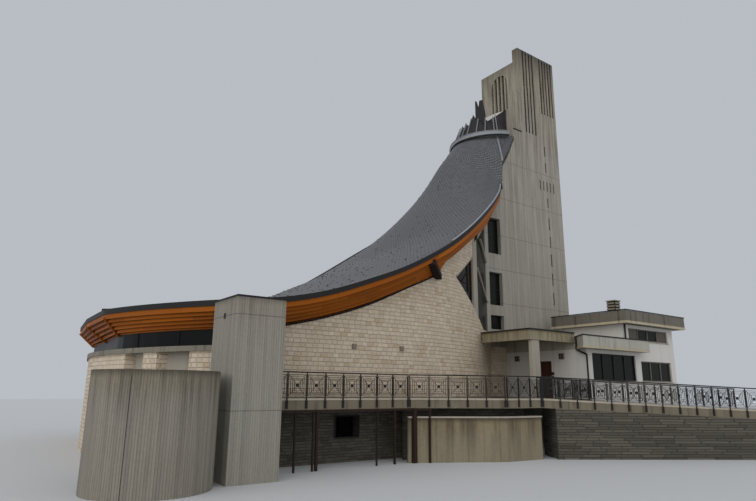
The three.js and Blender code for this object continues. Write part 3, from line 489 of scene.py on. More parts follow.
def ashlar(name, run_of, light, dark, joint, course=0.19, length=0.31):
    """Coursed stone blocks with a colour each, rough faces and recessed joints.

    A stone's row is z / course and its column run / length, shifted by chance from row to row.
    """
    f = Finish(name, 0.9)
    x, y, z = f.place()
    run = run_of(x, y)
    z = z + f.noise(f.vector(run * 2.2, z * 2.2), 1.0, 2.0) * 0.05
    row = (z / course).floor()
    uneven = f.noise(f.vector(run * 1.4, row * 7.3), 1.0, 2.0)
    column = run / length + f.chance(row, 3.0) * 9.0 + uneven * 1.5
    stone = column.floor()
    across = column.part()
    gap = (across.least(1.0 - across) * length).least(edge_gap(z, course))
    seam = gap.rise(0.002, 0.02, 0.68, 0.0)
    tone = f.chance(stone, row)
    other = f.chance(row, stone, 5.0)
    patch = f.noise(f.vector(run, z), 0.35, 3.0)
    grit = f.noise(f.vector(run, z), 16.0, 5.0, 0.65)
    brown_stone = tuple(np.multiply(dark, (0.8, 0.68, 0.5)).tolist())
    brown_stain = tuple(np.multiply(dark, (0.9, 0.8, 0.68)).tolist())
    colour = f.mix(tone * 0.6 + patch * 0.4, dark, light)
    colour = f.mix(other.rise(0.84, 1.0) * 0.5, colour, brown_stone)
    colour = f.mix(patch.rise(0.56, 0.74) * 0.3, colour, brown_stain)
    colour = f.shade(colour, 0.82 + grit * 0.36)
    colour = f.mix(seam, colour, joint)
    f.feed("Base Color", colour)
    f.feed("Roughness", 0.95 - grit * 0.15)
    f.relief(gap.rise(0.0, 0.03) + grit * 0.5 + tone * 0.4, 0.02)
    return f.material


def cast_concrete(name, base, top, dirt, board, joints, crown, centre=None):
    """Board-marked concrete: a tone for each board, its edges, rain streaks and a dark, brown top.

    top is the height where the wall ends, crown how many metres the dark edge reaches below it, and
    joints are the heights of its level joints. The boards count along the run, which is x + y, or for
    a round wall, whose centre gives x, y and radius, the angle there times the radius.
    """
    f = Finish(name, 0.9)
    x, y, z = f.place()
    if centre is None:
        run = x + y
    else:
        run = (y - centre[1]).math("ARCTAN2", x - centre[0]) * centre[2]
    plank = (run / board).floor()
    tone = f.chance(plank, 1.0)
    groove = edge_gap(run, board).rise(0.0, 0.012, 1.0, 0.0)
    grain = f.noise(f.vector(run * 30.0, z * 1.6, 2.0), 1.0, 4.0, 0.6)
    cloud = f.noise(f.vector(run * 0.35, z * 0.25, 7.0), 1.0, 4.0, 0.55)
    streak = f.noise(f.vector(run * 4.5, z * 0.22, 4.0), 1.0, 5.0, 0.66)
    spots = f.noise(f.vector(run, z, 9.0), 9.0, 3.0, 0.6)
    below = top - z
    rain = streak.rise(0.4, 0.68) * below.rise(0.0, crown * 6.0, 1.0, 0.3) * dirt
    cap = (below + streak * crown).rise(crown * 0.35, crown * 1.35, 1.0, 0.0) * min(1.0, dirt * 1.5)
    factor = 0.74 + tone * 0.2 + grain * 0.24 + cloud * 0.28 - groove * 0.2
    for height in joints:
        line = (z - height).math("ABSOLUTE").rise(0.008, 0.03, 1.0, 0.0)
        factor = factor - line * 0.42
    factor = factor * (1.0 - rain * 0.55) * (1.0 - cap * 0.6) * (0.85 + spots * 0.3)
    warm, cool, brown = (tuple(np.multiply(base, change).tolist())
                         for change in ((1.02, 1.0, 0.96), (0.97, 1.0, 1.03), (0.9, 0.83, 0.66)))
    stain = below.rise(0.0, crown * 3.5, 1.0, 0.0) * min(1.0, dirt) * 0.7
    f.feed("Base Color", f.shade(f.mix(stain, f.mix(cloud, warm, cool), brown), factor))
    f.feed("Roughness", 0.95 - grain * 0.12)
    f.relief(tone * 0.5 + grain * 0.5 - groove * 1.2 + spots * 0.3, 0.008)
    return f.material


def smooth_coat(name, base, roughness, spread, streaks, grit, metallic=0.0, **constants):
    """A plain coat with soft clouds, faint rain streaks and a fine grit."""
    f = Finish(name, roughness, metallic, **constants)
    x, y, z = f.place()
    here = f.vector(x, y, z)
    cloud = f.noise(here, 0.7, 4.0)
    fine = f.noise(here, grit, 2.0)
    streak = f.noise(f.vector((x + y) * 3.0, (x - y) * 3.0, z * 0.25), 1.0, 4.0, 0.6)
    factor = 1.0 - spread + cloud * spread * 1.5 + fine * spread * 0.5 - streak.rise(0.5, 0.75) * streaks
    f.feed("Base Color", f.shade(base, factor))
    f.feed("Roughness", roughness + cloud * 0.12 - 0.06)
    f.relief(fine, 0.003, 0.6)
    return f.material


def slates(name, light, dark):
    """Small square slates laid on the diagonal, a tone each, with dark joints. Reads metres from the UV."""
    size = 0.16
    f = Finish(name, Specular_IOR_Level=0.3)
    u, v, _ = f.parts(f.node("ShaderNodeUVMap", {"uv_map": "UVMap"}))
    a, b = (u + v) / (math.sqrt(2) * size), (v - u) / (math.sqrt(2) * size)
    tone = f.chance(a.floor(), b.floor())
    joint_a = edge_gap(a, 1.0).rise(0.04, 0.3, 1.0, 0.0)
    joint_b = edge_gap(b, 1.0).rise(0.04, 0.26, 1.0, 0.0)
    cloud = f.noise(f.vector(u, v), 0.25, 4.0)
    fine = f.noise(f.vector(u, v), 12.0, 3.0)
    dull = f.noise(f.vector(u * 0.15, v * 1.2, 3.0), 1.0, 3.0)
    colour = f.mix(tone * 0.45 + cloud * 0.4 + dull * 0.15, dark, light)
    factor = (1.0 - joint_a * 0.5) * (1.0 - joint_b * 0.3) * (0.92 + fine * 0.16)
    f.feed("Base Color", f.shade(colour, factor))
    f.feed("Roughness", 0.5 + tone * 0.12 + fine * 0.1)
    f.relief(a.part() * 0.6 + b.part() * 0.4 - joint_a + fine * 0.2, 0.006, 0.8)
    return f.material


def boards(name, light, dark):
    """Glazed wood: u runs along the boards in metres, v is the number of the board. The level face of each
    step carries painted shade.
    """
    length = 3.2
    f = Finish(name, Specular_IOR_Level=0.12)
    u, v, _ = f.parts(f.node("ShaderNodeUVMap", {"uv_map": "UVMap"}))
    row = v.floor()
    share = u / length + f.chance(row, 2.0)
    tone = f.chance(row, share.floor())
    butt = edge_gap(share, 1.0).rise(0.0, 0.004, 1.0, 0.0)
    grain = f.noise(f.vector(u * 2.2, v * 9.0, row), 3.0, 5.0, 0.6)
    worn = f.noise(f.vector(u * 0.25, row * 0.8, 5.0), 1.0, 3.0)
    colour = f.mix(tone * 0.4 + grain * 0.35 + worn * 0.35, dark, light)
    # Painted shade: the level face of each step is made 0.45 as bright as its upright face, for the shade
    # between the boards.
    painted_step_shade = (v.part() - 0.5).rise(0.0, 0.04, 1.0, 0.45)
    f.feed("Base Color", f.shade(colour, (1.0 - butt * 0.6) * (0.85 + grain * 0.3) * painted_step_shade))
    f.feed("Roughness", 0.45 + grain * 0.2)
    f.relief(grain, 0.004, 0.7)
    return f.material


def plain_boards():
    """The same glazed wood for bars, read from the place on the site."""
    f = Finish("glazed_bars", 0.6, Specular_IOR_Level=0.12)
    x, y, z = f.place()
    grain = f.noise(f.vector(x * 4.0, y * 4.0, z * 14.0), 2.0, 5.0, 0.6)
    cloud = f.noise(f.vector(x, y, z), 0.9, 2.0)
    f.feed("Base Color", f.mix(grain * 0.6 + cloud * 0.4, (0.16, 0.035, 0.002), (0.3, 0.09, 0.006)))
    f.feed("Roughness", 0.5 + grain * 0.2)
    f.relief(grain, 0.004, 0.7)
    return f.material


def dark_glass(name, base, roughness=0.22):
    """Dark glass with a slight change of tone and a little dust."""
    f = Finish(name, roughness, 0.0, Specular_IOR_Level=0.09)
    x, y, z = f.place()
    cloud = f.noise(f.vector(x, y, z), 0.8, 3.0)
    dust = f.noise(f.vector(x, y, z), 14.0, 3.0)
    f.feed("Base Color", f.shade(base, 0.7 + cloud * 0.6))
    f.feed("Roughness", roughness + dust * 0.08)
    return f.material


LIMESTONE = (0.7, 0.59, 0.455), (0.53, 0.425, 0.31), (0.4, 0.325, 0.235)
NAVE_STONE = ashlar("nave_stone", nave_run, *LIMESTONE)
END_STONE = ashlar("end_stone", end_run, *LIMESTONE)
# The base stone is dark stone whose colours also hold painted shade: these walls stand in the shade under the
# deck.
BASE_STONE = ashlar("base_stone", nave_run, (0.135, 0.12, 0.09), (0.052, 0.045, 0.034), (0.024, 0.02, 0.016),
                    0.12, 0.4)
TOWER_CONCRETE = cast_concrete("tower_concrete", (0.32, 0.29, 0.245), 28.2, 1.0, 0.13,
                               (18.5, 15.7, 13.02, 10.7, 8.46), 3.0)
PIER_CONCRETE = cast_concrete("pier_concrete", (0.28, 0.255, 0.215), 6.17, 0.5, 0.09, (5.51, 2.31), 0.35)
DRUM_CONCRETE = cast_concrete("drum_concrete", (0.238, 0.212, 0.172), 3.555, 0.95, 0.085, (), 0.32,
                              (0.3, -5.8, 1.93))
DECK_CONCRETE = cast_concrete("deck_concrete", (0.2, 0.175, 0.13), 2.6, 1.0, 0.6, (), 0.25)
WALL_CONCRETE = cast_concrete("low_wall_concrete", (0.23, 0.19, 0.125), 1.83, 1.0, 0.3, (), 0.3)
PALE_CONCRETE = smooth_coat("pale_concrete", (0.36, 0.32, 0.26), 0.88, 0.16, 0.25, 40.0)
KERB_CONCRETE = smooth_coat("kerb_concrete", (0.56, 0.49, 0.38), 0.88, 0.14, 0.2, 40.0)
STAINED_CONCRETE = smooth_coat("stained_concrete", (0.21, 0.188, 0.145), 0.9, 0.35, 0.6, 40.0)
SLAB_CONCRETE = smooth_coat("slab_concrete", (0.175, 0.145, 0.1), 0.9, 0.5, 0.7, 40.0)
UPPER_ROOF_CONCRETE = smooth_coat("upper_roof_concrete", (0.155, 0.138, 0.108), 0.9, 0.35, 0.6, 40.0)
CANOPY_CONCRETE = cast_concrete("canopy_concrete", (0.3, 0.262, 0.18), 6.21, 1.0, 0.5, (), 0.2)
ROOF_CONCRETE = smooth_coat("roof_edge_concrete", (0.42, 0.4, 0.34), 0.9, 0.25, 0.45, 40.0)
WHITE_RENDER = smooth_coat("white_render", (0.64, 0.61, 0.565), 0.9, 0.08, 0.1, 70.0)
SLATE = slates("diagonal_slates", (0.165, 0.165, 0.172), (0.085, 0.085, 0.09))
DARK_METAL = smooth_coat("dark_metal", (0.013, 0.012, 0.012), 0.55, 0.2, 0.1, 30.0, Specular_IOR_Level=0.25)
BLACK_IRON = smooth_coat("railing_iron", (0.02, 0.018, 0.018), 0.55, 0.2, 0.1, 30.0, Specular_IOR_Level=0.2)
ZINC = smooth_coat("weathered_zinc", (0.24, 0.25, 0.26), 0.5, 0.16, 0.18, 20.0, 0.35)
BROWN_STEEL = smooth_coat("brown_steel", (0.028, 0.014, 0.009), 0.65, 0.3, 0.2, 30.0, Specular_IOR_Level=0.2)
BRACKET_PAINT = smooth_coat("bracket_paint", (0.016, 0.009, 0.007), 0.7, 0.2, 0.1, 30.0,
                            Specular_IOR_Level=0.15)
EDGE_BAND = smooth_coat("beige_edge_band", (0.47, 0.4, 0.28), 0.9, 0.2, 0.3, 40.0)
FRAME_PAINT = smooth_coat("beige_window_frame", (0.15, 0.135, 0.105), 0.7, 0.15, 0.1, 30.0)
BLIND = smooth_coat("window_blind", (0.12, 0.105, 0.08), 0.8, 0.2, 0.1, 30.0)
LOUVRE = smooth_coat("chimney_louvre", (0.26, 0.235, 0.18), 0.85, 0.2, 0.2, 30.0)
BRIGHT_ZINC = smooth_coat("bright_gutter_zinc", (0.3, 0.31, 0.33), 0.45, 0.1, 0.1, 20.0, 0.2)
LAMP_BOX = smooth_coat("lamp_box", (0.2, 0.165, 0.115), 0.7, 0.15, 0.1, 30.0)
PALE_ZINC = smooth_coat("pale_rib_zinc", (0.2, 0.2, 0.205), 0.55, 0.12, 0.1, 20.0, 0.2)
CHEEK = smooth_coat("cheek_sheet", (0.075, 0.076, 0.082), 0.6, 0.4, 0.5, 20.0, Specular_IOR_Level=0.3)
BLADE = smooth_coat("blade_sheet", (0.03, 0.026, 0.026), 0.7, 0.3, 0.2, 20.0, Specular_IOR_Level=0.2)
LANTERN_WALL = smooth_coat("lantern_sheet", (0.04, 0.034, 0.037), 0.7, 0.2, 0.2, 20.0, Specular_IOR_Level=0.2)
LANTERN_FACE = smooth_coat("lantern_light_panel", (0.55, 0.52, 0.47), 0.5, 0.1, 0.1, 20.0)
DOOR_PAINT = smooth_coat("red_brown_paint", (0.055, 0.014, 0.008), 0.4, 0.15, 0.05, 30.0)
WOOD = boards("eaves_boards", (0.44, 0.125, 0.005), (0.16, 0.034, 0.001))
GLASS = dark_glass("dark_glass", (0.009, 0.0105, 0.008))
BAND_GLASS = dark_glass("band_panels", (0.006, 0.006, 0.006), 0.35)

FINISHES = (
    (NAVE_STONE, "nave_front_wall nave_back_wall nave_front_curved_wall nave_back_curved_wall"),
    (END_STONE, "end_wall"),
    (BASE_STONE, "lower_front_wall lower_back_wall deck_base_wall ramp_base"),
    (PALE_CONCRETE, "end_wall_lining glazing_post porch_column"),
    (STAINED_CONCRETE, "ring_beam"),
    (SLAB_CONCRETE, "church_floor ramp"),
    (DECK_CONCRETE, "annex_floor"),
    (WALL_CONCRETE, "deck_low_wall"),
    (PIER_CONCRETE, "corner_pier"),
    (DRUM_CONCRETE, "drum_wall"),
    (TOWER_CONCRETE, "tower_front_wall tower_back_wall tower_right_wall tower_left_wall"),
    (TOWER_CONCRETE, "tower_shaft_back_wall tower_roof tower_top_slab"),
    (CANOPY_CONCRETE, "porch_canopy"),
    (ROOF_CONCRETE, "annex_low_roof"),
    (UPPER_ROOF_CONCRETE, "annex_upper_roof"),
    (WHITE_RENDER, "door_wall annex_front_wall annex_upper_front_wall annex_right_wall annex_back_wall"),
    (BAND_GLASS, "clerestory_band"),
    (GLASS, "nave_front_glazing nave_back_glazing tower_bay_glass"),
    (GLASS, "annex_window_1 annex_window_2 annex_window_3"),
    (ZINC, "crown_ring crown_lantern"),
    (DARK_METAL, "crown_fins door_hinges"),
    (BROWN_STEEL, "chimney"),
    (DOOR_PAINT, "door_frame entrance_door"),
)
for node_finish, node_names in FINISHES:
    for node_name in node_names.split():
        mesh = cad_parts[node_name].data
        mesh.materials.clear()
        mesh.materials.append(node_finish)


# Roof
def make_roof():
    """The slates over the whole roof; beside the tower a sheet from their fold to the edge, and a strip."""
    along, across = lengths(ROOF, 0), lengths(ROOF, 1)
    middle = np.argmin(np.abs(ACROSS))
    across = across - across[:, middle:middle + 1]
    uv = np.stack(np.broadcast_arrays(along.mean(1, keepdims=True), across), -1).reshape(-1, 2)
    piece("roof_slates", plate(ROOF, (0, 0, 0.03 - FASCIA_DEPTH)), SLATE,
          stands_for=("roof_front", "roof_back"), smooth=30, uv=np.concatenate([uv, uv]))
    rows = np.flatnonzero(ROW_PLACE >= 2)
    share = np.linspace(0, 1, 4)[None, :, None]
    folds = ROOF[rows, 0], ROOF[rows, -1]
    edges = EAVE_POINTS[rows], mirrored(EAVE_POINTS[rows])
    cheeks = [plate(fold[:, None] + (edge - fold)[:, None] * share, (0.02, 0, -0.06))
              for fold, edge in zip(folds, edges)]
    strips = [rods(fold[:-1], fold[1:], 0.11, 0.09) for fold in folds]
    piece("tower_cheeks", together(*cheeks), CHEEK)
    piece("slate_edge_strips", together(*strips), ZINC)


def away(directions, points):
    """Level directions, each turned round where it would point towards the nave's middle."""
    out = points[:, :2] - NAVE_MIDDLE
    return directions * np.sign((out * directions[:, :2]).sum(-1))[:, None]


def make_fascia():
    """Dark boards round the open edges of the roof, with a lip on top, and the gutter on the upper eaves.

    Each is a profile swept along the edge; its across is level and points away from the nave.
    """
    eaves = EAVE_POINTS[:EAVE_ROWS]
    edge = np.concatenate([mirrored(eaves[:0:-1]), END_EDGE[::-1], eaves[1:]])
    tangent = unit(np.gradient(edge, axis=0) * (1, 1, 0))
    outward = away(at(tangent[:, 1], -tangent[:, 0], 0), edge)
    profile = [(-0.1, 0.035), (0.04, 0.035), (0.04, -FASCIA_DEPTH), (0.008, -FASCIA_DEPTH), (0.008, 0.0),
               (-0.1, 0.008)]
    piece("fascia", sweep(edge, outward, (0, 0, 1), profile), DARK_METAL, smooth=40)
    upper = eaves[eaves[:, 0] > 14.6]
    angle = np.linspace(0, math.pi, 7)
    outside = np.stack([0.055 * np.cos(angle), -0.045 * np.sin(angle)], -1)
    inside = np.stack([0.035 * np.cos(angle), -0.025 * np.sin(angle)], -1)
    parts = []
    for line in (upper, mirrored(upper)):
        run = unit(np.gradient(line, axis=0))
        flat = away(unit(np.cross(run, (0, 0, 1))), line)
        top = unit(np.cross(run, flat)) * np.sign(line[:, 2:3])
        parts.append(sweep(line + (0, 0, 0.08), flat, top, np.concatenate([outside, inside[::-1]])))
    piece("eaves_gutter", together(*parts), BRIGHT_ZINC, smooth=50)
    ends = np.array([upper[-1], mirrored(upper[-1:])[0]])
    piece("gutter_ends", rods(ends + (0.06, 0, 0.16), ends + (0.1, 0, -0.25), 0.14, 0.12), DARK_METAL)


BOARDS = 5
BOARD_DROP = ROOF_THICKNESS + SOFFIT_GAP - FASCIA_DEPTH + 0.02
# Past the bracket the boards end higher on the wall: run along the wall, and how many metres higher.
RAISED = [(14.7, 0.0), (14.8, 0.33), (16.0, 0.3), (17.0, 0.26), (18.0, 0.18), (19.0, 0.1), (20.0, 0.0)]


def stepped_shell(outer, wall):
    """Boards hung like stairs from the roof's edge down to the wall.

    point = outer + (wall - outer) * share in plan; its height goes from the edge down to the wall in
    equal steps, upright then level. The first row stands BOARD_DROP over the edge, behind the fascia.
    """
    share = np.repeat(np.arange(BOARDS + 1) / BOARDS, 2)
    level = np.concatenate([[0.0], np.repeat((np.arange(BOARDS) + 0.5) / BOARDS, 2), [1.0]])
    plan = outer[:, None] + (wall - outer)[:, None] * share[None, :, None]
    plan[..., 2] = outer[:, 2:3] + (wall[:, 2:3] - outer[:, 2:3]) * level[None]
    plan[:, 0, 2] = outer[:, 2] + BOARD_DROP
    inward = unit((wall - outer) * (1, 1, 0))[:, None] * 0.035 + (0, 0, 0.04)
    along = lengths(outer[:, None], 0)
    board = np.arange(len(share))[None] * 0.5 + 0.02
    uv = np.stack(np.broadcast_arrays(along, board), -1).reshape(-1, 2)
    return plate(plan, inward), np.concatenate([uv, uv])


def hang_boards(name, node, outer, wall):
    """The stepped boards of one side, for the plain soffit there."""
    part, uv = stepped_shell(outer, wall)
    piece(name, part, WOOD, stands_for=(node,), uv=uv)


def make_soffits():
    """The stepped boards under the eaves, front, back and end, a dark bar of painted shadow where the front
    and back boards meet the stone, and the hips between them.

    On the long sides they go from the eave to the top of the stone, whose line is moved outwards to
    y = 0 where it would pass the tower's face. Round the end they go to the top of the dark band.
    """
    run = np.concatenate([[3.15], np.linspace(LEAN_START, BEND, 15), BEND + RADIUS * BENDS])
    outer = eave_line(run)
    outer[:, 2] -= ROOF_THICKNESS + SOFFIT_GAP
    base, out = wall_line(run)
    wall = wall_line(run, np.maximum(base[:, 1], 0) / -out[:, 1])[0]
    wall[:, 2] = curve_value(STONE_TOP, wall[:, 0]) + np.interp(run, *np.transpose(RAISED))
    wall[:, 2] = np.minimum(wall[:, 2], roof_underside(wall) - 0.02)
    make_raised_stone(run, wall)
    make_brackets()
    # Painted shadow: a dark bar along the top of the stone stands for the shadow gap between the boards and
    # the wall.
    line, facing = wall_line(np.linspace(3.2, 14.7, 40), 0.03)
    line[:, 2] = curve_value(STONE_TOP, line[:, 0]) - 0.035
    behind = mirrored(line)
    facing_behind = unit(mirrored(line + facing) - behind)
    shadow_gap_profile = rectangle(-0.05, 0.02, -0.035, 0.035)
    both = together(sweep(line, facing, (0, 0, 1), shadow_gap_profile), sweep(behind, facing_behind, (0, 0, 1), shadow_gap_profile))
    piece("soffit_shadow_gap_bar", both, BRACKET_PAINT)
    outer = np.concatenate([[(END_EDGE_X, -4.4, 5.89)], outer])
    wall = np.concatenate([[(band_x(FRONT), FRONT, BAND_TOP)], wall])
    hang_boards("soffit_boards_front", "soffit_front", outer, wall)
    hang_boards("soffit_boards_back", "soffit_back", mirrored(outer), mirrored(wall))
    half = END_EDGE[ACROSS <= 1e-6].copy()
    share = (half[:, 1] - half[0, 1]) / (half[-1, 1] - half[0, 1])
    inner_y = FRONT + (crossing() - FRONT) * share
    inner = at(band_x(inner_y), inner_y, BAND_TOP)
    half[:, 2] -= ROOF_THICKNESS + SOFFIT_GAP
    outer = np.concatenate([half, mirrored(half[-2::-1])])
    wall = np.concatenate([inner, mirrored(inner[-2::-1])])
    hang_boards("soffit_boards_end", "soffit_end", outer, wall)
    last = len(outer) - 1
    picks = [0, 16, last // 2, last - 16, last]
    hips = rods(outer[picks] + (0, 0, 0.03), wall[picks] - (0, 0, 0.02), 0.13, 0.16)
    piece("soffit_hips", hips, plain_boards(), bevel=0.01)


def make_raised_stone(run, wall):
    """Stone above the walls' tops where the boards end higher, front and back."""
    rows = (run > 14.75) & (run < 20.0)
    face = wall_line(run[rows], -0.01)[0]
    inward = wall_line(run[rows], -0.2)[0] - face
    heights = curve_value(STONE_TOP, face[:, 0]) - 0.02, wall[rows, 2] + 0.1
    grid = np.stack([at(face[:, 0], face[:, 1], height) for height in heights], 1)
    behind = mirrored(face + inward) - mirrored(face)
    strips = plate(grid, inward[:, None]), plate(mirrored(grid), behind[:, None])
    piece("raised_stone", together(*strips), NAVE_STONE)


def make_brackets():
    """The dark beam that ends the deep boards, front and back, and two small brackets under the boards."""
    beam = np.array([(13.28, -4.33, 9.13), (14.68, -3.22, 8.71), (19.0, -1.9, 11.98), (18.8, -1.82, 11.55)])
    starts, ends = beam[::2], beam[1::2]
    both = rods(np.concatenate([starts, mirrored(starts)]), np.concatenate([ends, mirrored(ends)]),
                [0.38, 0.1, 0.38, 0.1], [0.3, 0.12, 0.3, 0.12])
    piece("soffit_brackets", both, BRACKET_PAINT, bevel=0.008)


def band_x(y):
    """x of the clerestory band's face: a circle round END_CENTRE up to y = 2.5, then a straight line."""
    y = np.asarray(y, float)
    off = np.minimum(y, 2.5) - END_CENTRE[1]
    return END_CENTRE[0] - np.sqrt((END_RADIUS - 0.15) ** 2 - off ** 2) + 0.078 * np.maximum(y - 2.5, 0)


def crossing():
    """Depth at which the band meets the centre line, found by going from one to the other 20 times."""
    y = AXIS_START[1]
    for _ in range(20):
        y = float(axis_y(band_x(y)))
    return y


def make_band():
    """Upright joints on the dark clerestory band round the end wall, two on each side of its middle."""
    y = np.array([-1.6, 0.9])
    front = at(band_x(y) - 0.012, y, 0)
    feet = np.concatenate([front, mirrored(front)])
    joints = rods(feet + (0, 0, 4.65), feet + (0, 0, BAND_TOP - 0.02), 0.035, 0.03)
    piece("band_joints", joints, DARK_METAL)


def make_snow_hooks():
    """Small hooks scattered by chance, evenly over both slopes.

    start = the corner of a patch of the roof + its two sides times random shares; patches are picked
    by their area.
    """
    rng = np.random.default_rng(4)
    corners = ROOF[:-1, :-1], ROOF[1:, :-1], ROOF[:-1, 1:]
    area = np.linalg.norm(np.cross(corners[1] - corners[0], corners[2] - corners[0]), axis=-1)
    area[:2] = area[-2:] = 0
    picks = rng.choice(area.size, 520, p=(area / area.sum()).ravel())
    row, column = np.unravel_index(picks, area.shape)
    a, b = rng.random((2, len(picks), 1))
    origin = ROOF[row, column]
    along, across = ROOF[row + 1, column] - origin, ROOF[row, column + 1] - origin
    start = origin + along * a + across * b
    normal = unit(np.cross(along, across))
    normal *= np.sign(normal[:, 2:3])
    down = unit(-along)
    foot = rods(start, start + down * 0.07 + normal * 0.012, 0.02, 0.012, up=normal)
    nose = rods(start + down * 0.065, start + down * 0.065 + normal * 0.03, 0.045, 0.014, up=across)
    piece("snow_hooks", together(foot, nose), DARK_METAL)


make_roof()
make_fascia()
make_soffits()
make_band()
make_snow_hooks()


# Railings
RAIL_HEIGHT = 1.05


def railing_frame(start, end, bays, node):
    """A run of railing from start to end: posts with feet, a rounded top rail and a bottom rail.

    Post k stands at start + (end - start) * k / bays. Each bay has four nested rectangles, one for
    each inset, two diagonals between the corners of the outer one, and a boss at its centre.
    """
    start, end = np.array(start, float), np.array(end, float)
    run = end - start
    flat = unit(run * (1, 1, 0))
    side = np.array([flat[1], -flat[0], 0.0])
    up = np.array([0, 0, 1.0])
    posts = start + run * np.linspace(0, 1, bays + 1)[:, None]
    top, over = up * RAIL_HEIGHT, run * 0.004
    parts = [rods(posts - up * 0.28, posts + up * (RAIL_HEIGHT - 0.03), 0.04, 0.04, up=side),
             rods(start + top - over, end + top + over, 0.05, sides=8),
             rods(start + up * 0.11, end + up * 0.11, 0.03, 0.025)]
    a, b = posts[:-1], posts[1:]
    width = np.linalg.norm(run[:2]) / bays

    def corners(inset):
        aside = (b - a) * inset / width
        return a + aside, b - aside, up * (0.12 + inset * 0.8), up * (RAIL_HEIGHT - 0.07 - inset * 0.8)

    for inset in (0.05, 0.13, 0.21, 0.29):
        left, right, low, high = corners(inset)
        for foot in (left, right):
            parts.append(rods(foot + low, foot + high, 0.016, 0.016, up=side))
        for height in (low, high):
            parts.append(rods(left + height, right + height, 0.016, 0.016))
    left, right, low, high = corners(0.05)
    parts.append(rods(left + low, right + high, 0.013, 0.013))
    parts.append(rods(left + high, right + low, 0.013, 0.013))
    centre = (a + b) / 2 + up * (RAIL_HEIGHT + 0.07) / 2
    parts.append(rods(centre - side * 0.02, centre + side * 0.02, 0.13, sides=12))
    parts.append(rods(posts - up * 0.3, posts - up * 0.01, 0.1, 0.03, up=side))
    piece(node.replace("railing", "guard"), together(*parts), BLACK_IRON,
          stands_for=(node,))


def beside(a, b, share, sideways):
    """A point a share of the way from a to b, moved sideways to the left of the travel."""
    a, b = np.array(a, float), np.array(b, float)
    way = unit(b - a)
    return a + (b - a) * share + np.array([-way[1], way[0]]) * sideways


# The deck's street edge and its turns, then the ramp, whose far edge starts a little way down.
DECK_FRONT = -5.15
TURNS = [(11.1, DECK_FRONT), (15.0, -7.2), (17.2, -7.4)]
RAMP_START, RAMP_END = TURNS[2], (26.2, -13.14)
RAMP_WIDTH = 1.896
RAMP_DROP = 0.46
RAMP_FAR_START = 0.06
FLOOR = 2.6
RAMP_FOOT = FLOOR - RAMP_DROP
RAMP_FAR_TOP = FLOOR - RAMP_DROP * RAMP_FAR_START


def edge_run(a, b, top_a, top_b, side):
    """Both ends of a railing along an edge: 45 mm short of a and of b, and 25.3 mm to its side."""
    short, clear = 0.045 / math.dist(a, b), -side * 0.0253
    return (*beside(a, b, short, clear), top_a), (*beside(a, b, 1 - short, clear), top_b)


def on_ramp(share, sideways):
    """A point of the ramp in plan: a share of the way down its near edge, and sideways from it."""
    return beside(RAMP_START, RAMP_END, share, sideways)


RAMP_FAR_EDGE = on_ramp(RAMP_FAR_START, RAMP_WIDTH), on_ramp(1, RAMP_WIDTH)


def make_railings():
    """The railings of the deck, the ramp and the porch: the ends of each edge, its tops, side and bays."""
    left = float(on_ramp(0, RAMP_WIDTH)[0]) + 0.6
    runs = [((4.36, DECK_FRONT), TURNS[0], FLOOR, FLOOR, 1, 8, "deck_railing_1"),
            (TURNS[0], TURNS[1], FLOOR, FLOOR, 1, 5, "deck_railing_2"),
            (TURNS[1], TURNS[2], FLOOR, FLOOR, 1, 3, "deck_railing_3"),
            (RAMP_START, RAMP_END, FLOOR, RAMP_FOOT, 1, 13, "ramp_railing_near"),
            (*RAMP_FAR_EDGE, RAMP_FAR_TOP, RAMP_FOOT, -1, 12, "ramp_railing_far"),
            ((left, -5.8003), (23.24, -5.8003), FLOOR, FLOOR, 1, 6, "porch_railing")]
    for *edge, bays, node in runs:
        railing_frame(*edge_run(*edge), bays, node)


def make_kerbs():
    """A light upstand along the deck's and the ramp's edges, and the low wall's coping.

    Each is a rectangle swept along an edge: from near to far on its left, from 1 mm up to a height.
    """
    def strip(points, tops, near, far, height):
        line = np.array([(*point, top) for point, top in zip(points, tops)])
        way = unit(np.gradient(line, axis=0) * (1, 1, 0))
        return sweep(line, at(-way[:, 1], way[:, 0], 0), (0, 0, 1), rectangle(near, far, 0.001, height))

    deck = strip([(4.35, DECK_FRONT), *TURNS], [FLOOR] * 4, 0.02, 0.16, 0.085)
    ramp = strip([RAMP_START, RAMP_END], [FLOOR, RAMP_FOOT], 0.02, 0.16, 0.085)
    far = strip(RAMP_FAR_EDGE, [RAMP_FAR_TOP, RAMP_FOOT], -0.16, -0.02, 0.085)
    piece("edge_kerbs", together(deck, ramp, far), KERB_CONCRETE, bevel=0.008)
    coping = strip(TURNS, [1.83] * 3, 0.04, 0.41, 0.07)
    piece("low_wall_coping", coping, PALE_CONCRETE, bevel=0.008)


def make_under_deck():
    """Brown steel posts and rails under the deck's edge, and the frame and grille of the opening."""
    x = np.array([5.67, 6.46, 6.62, 9.47, 10.4, 11.35, 11.95])
    y = np.array([-5.08, -5.08, -5.08, -5.08, -5.08, -5.23, -5.54])
    wide = np.array([0.07, 0.07, 0.1, 0.06, 0.08, 0.18, 0.08])
    posts = rods(at(x, y, 0), at(x, y, 2.25), wide, wide)
    turns = np.array([(4.4, -5.12, 2.2), (11.1, -5.12, 2.2), (12.0, -5.58, 2.2)])
    rails = rods(turns[:-1], turns[1:], 0.06, 0.08)
    piece("under_deck_frame", together(posts, rails), BROWN_STEEL, bevel=0.004)
    corners = at([8.46, 8.46, 9.7, 9.7], FRONT, [1.0, 1.91, 1.0, 1.91])
    frame_bars = rods(corners[[0, 1, 0, 2]], corners[[2, 3, 1, 3]], 0.07, 0.06)
    x = np.linspace(8.6, 9.56, 9)
    grille = rods(at(x, -3.32, 1.0), at(x, -3.32, 1.91), 0.014, 0.014)
    piece("opening_grille", together(frame_bars, grille), DARK_METAL)


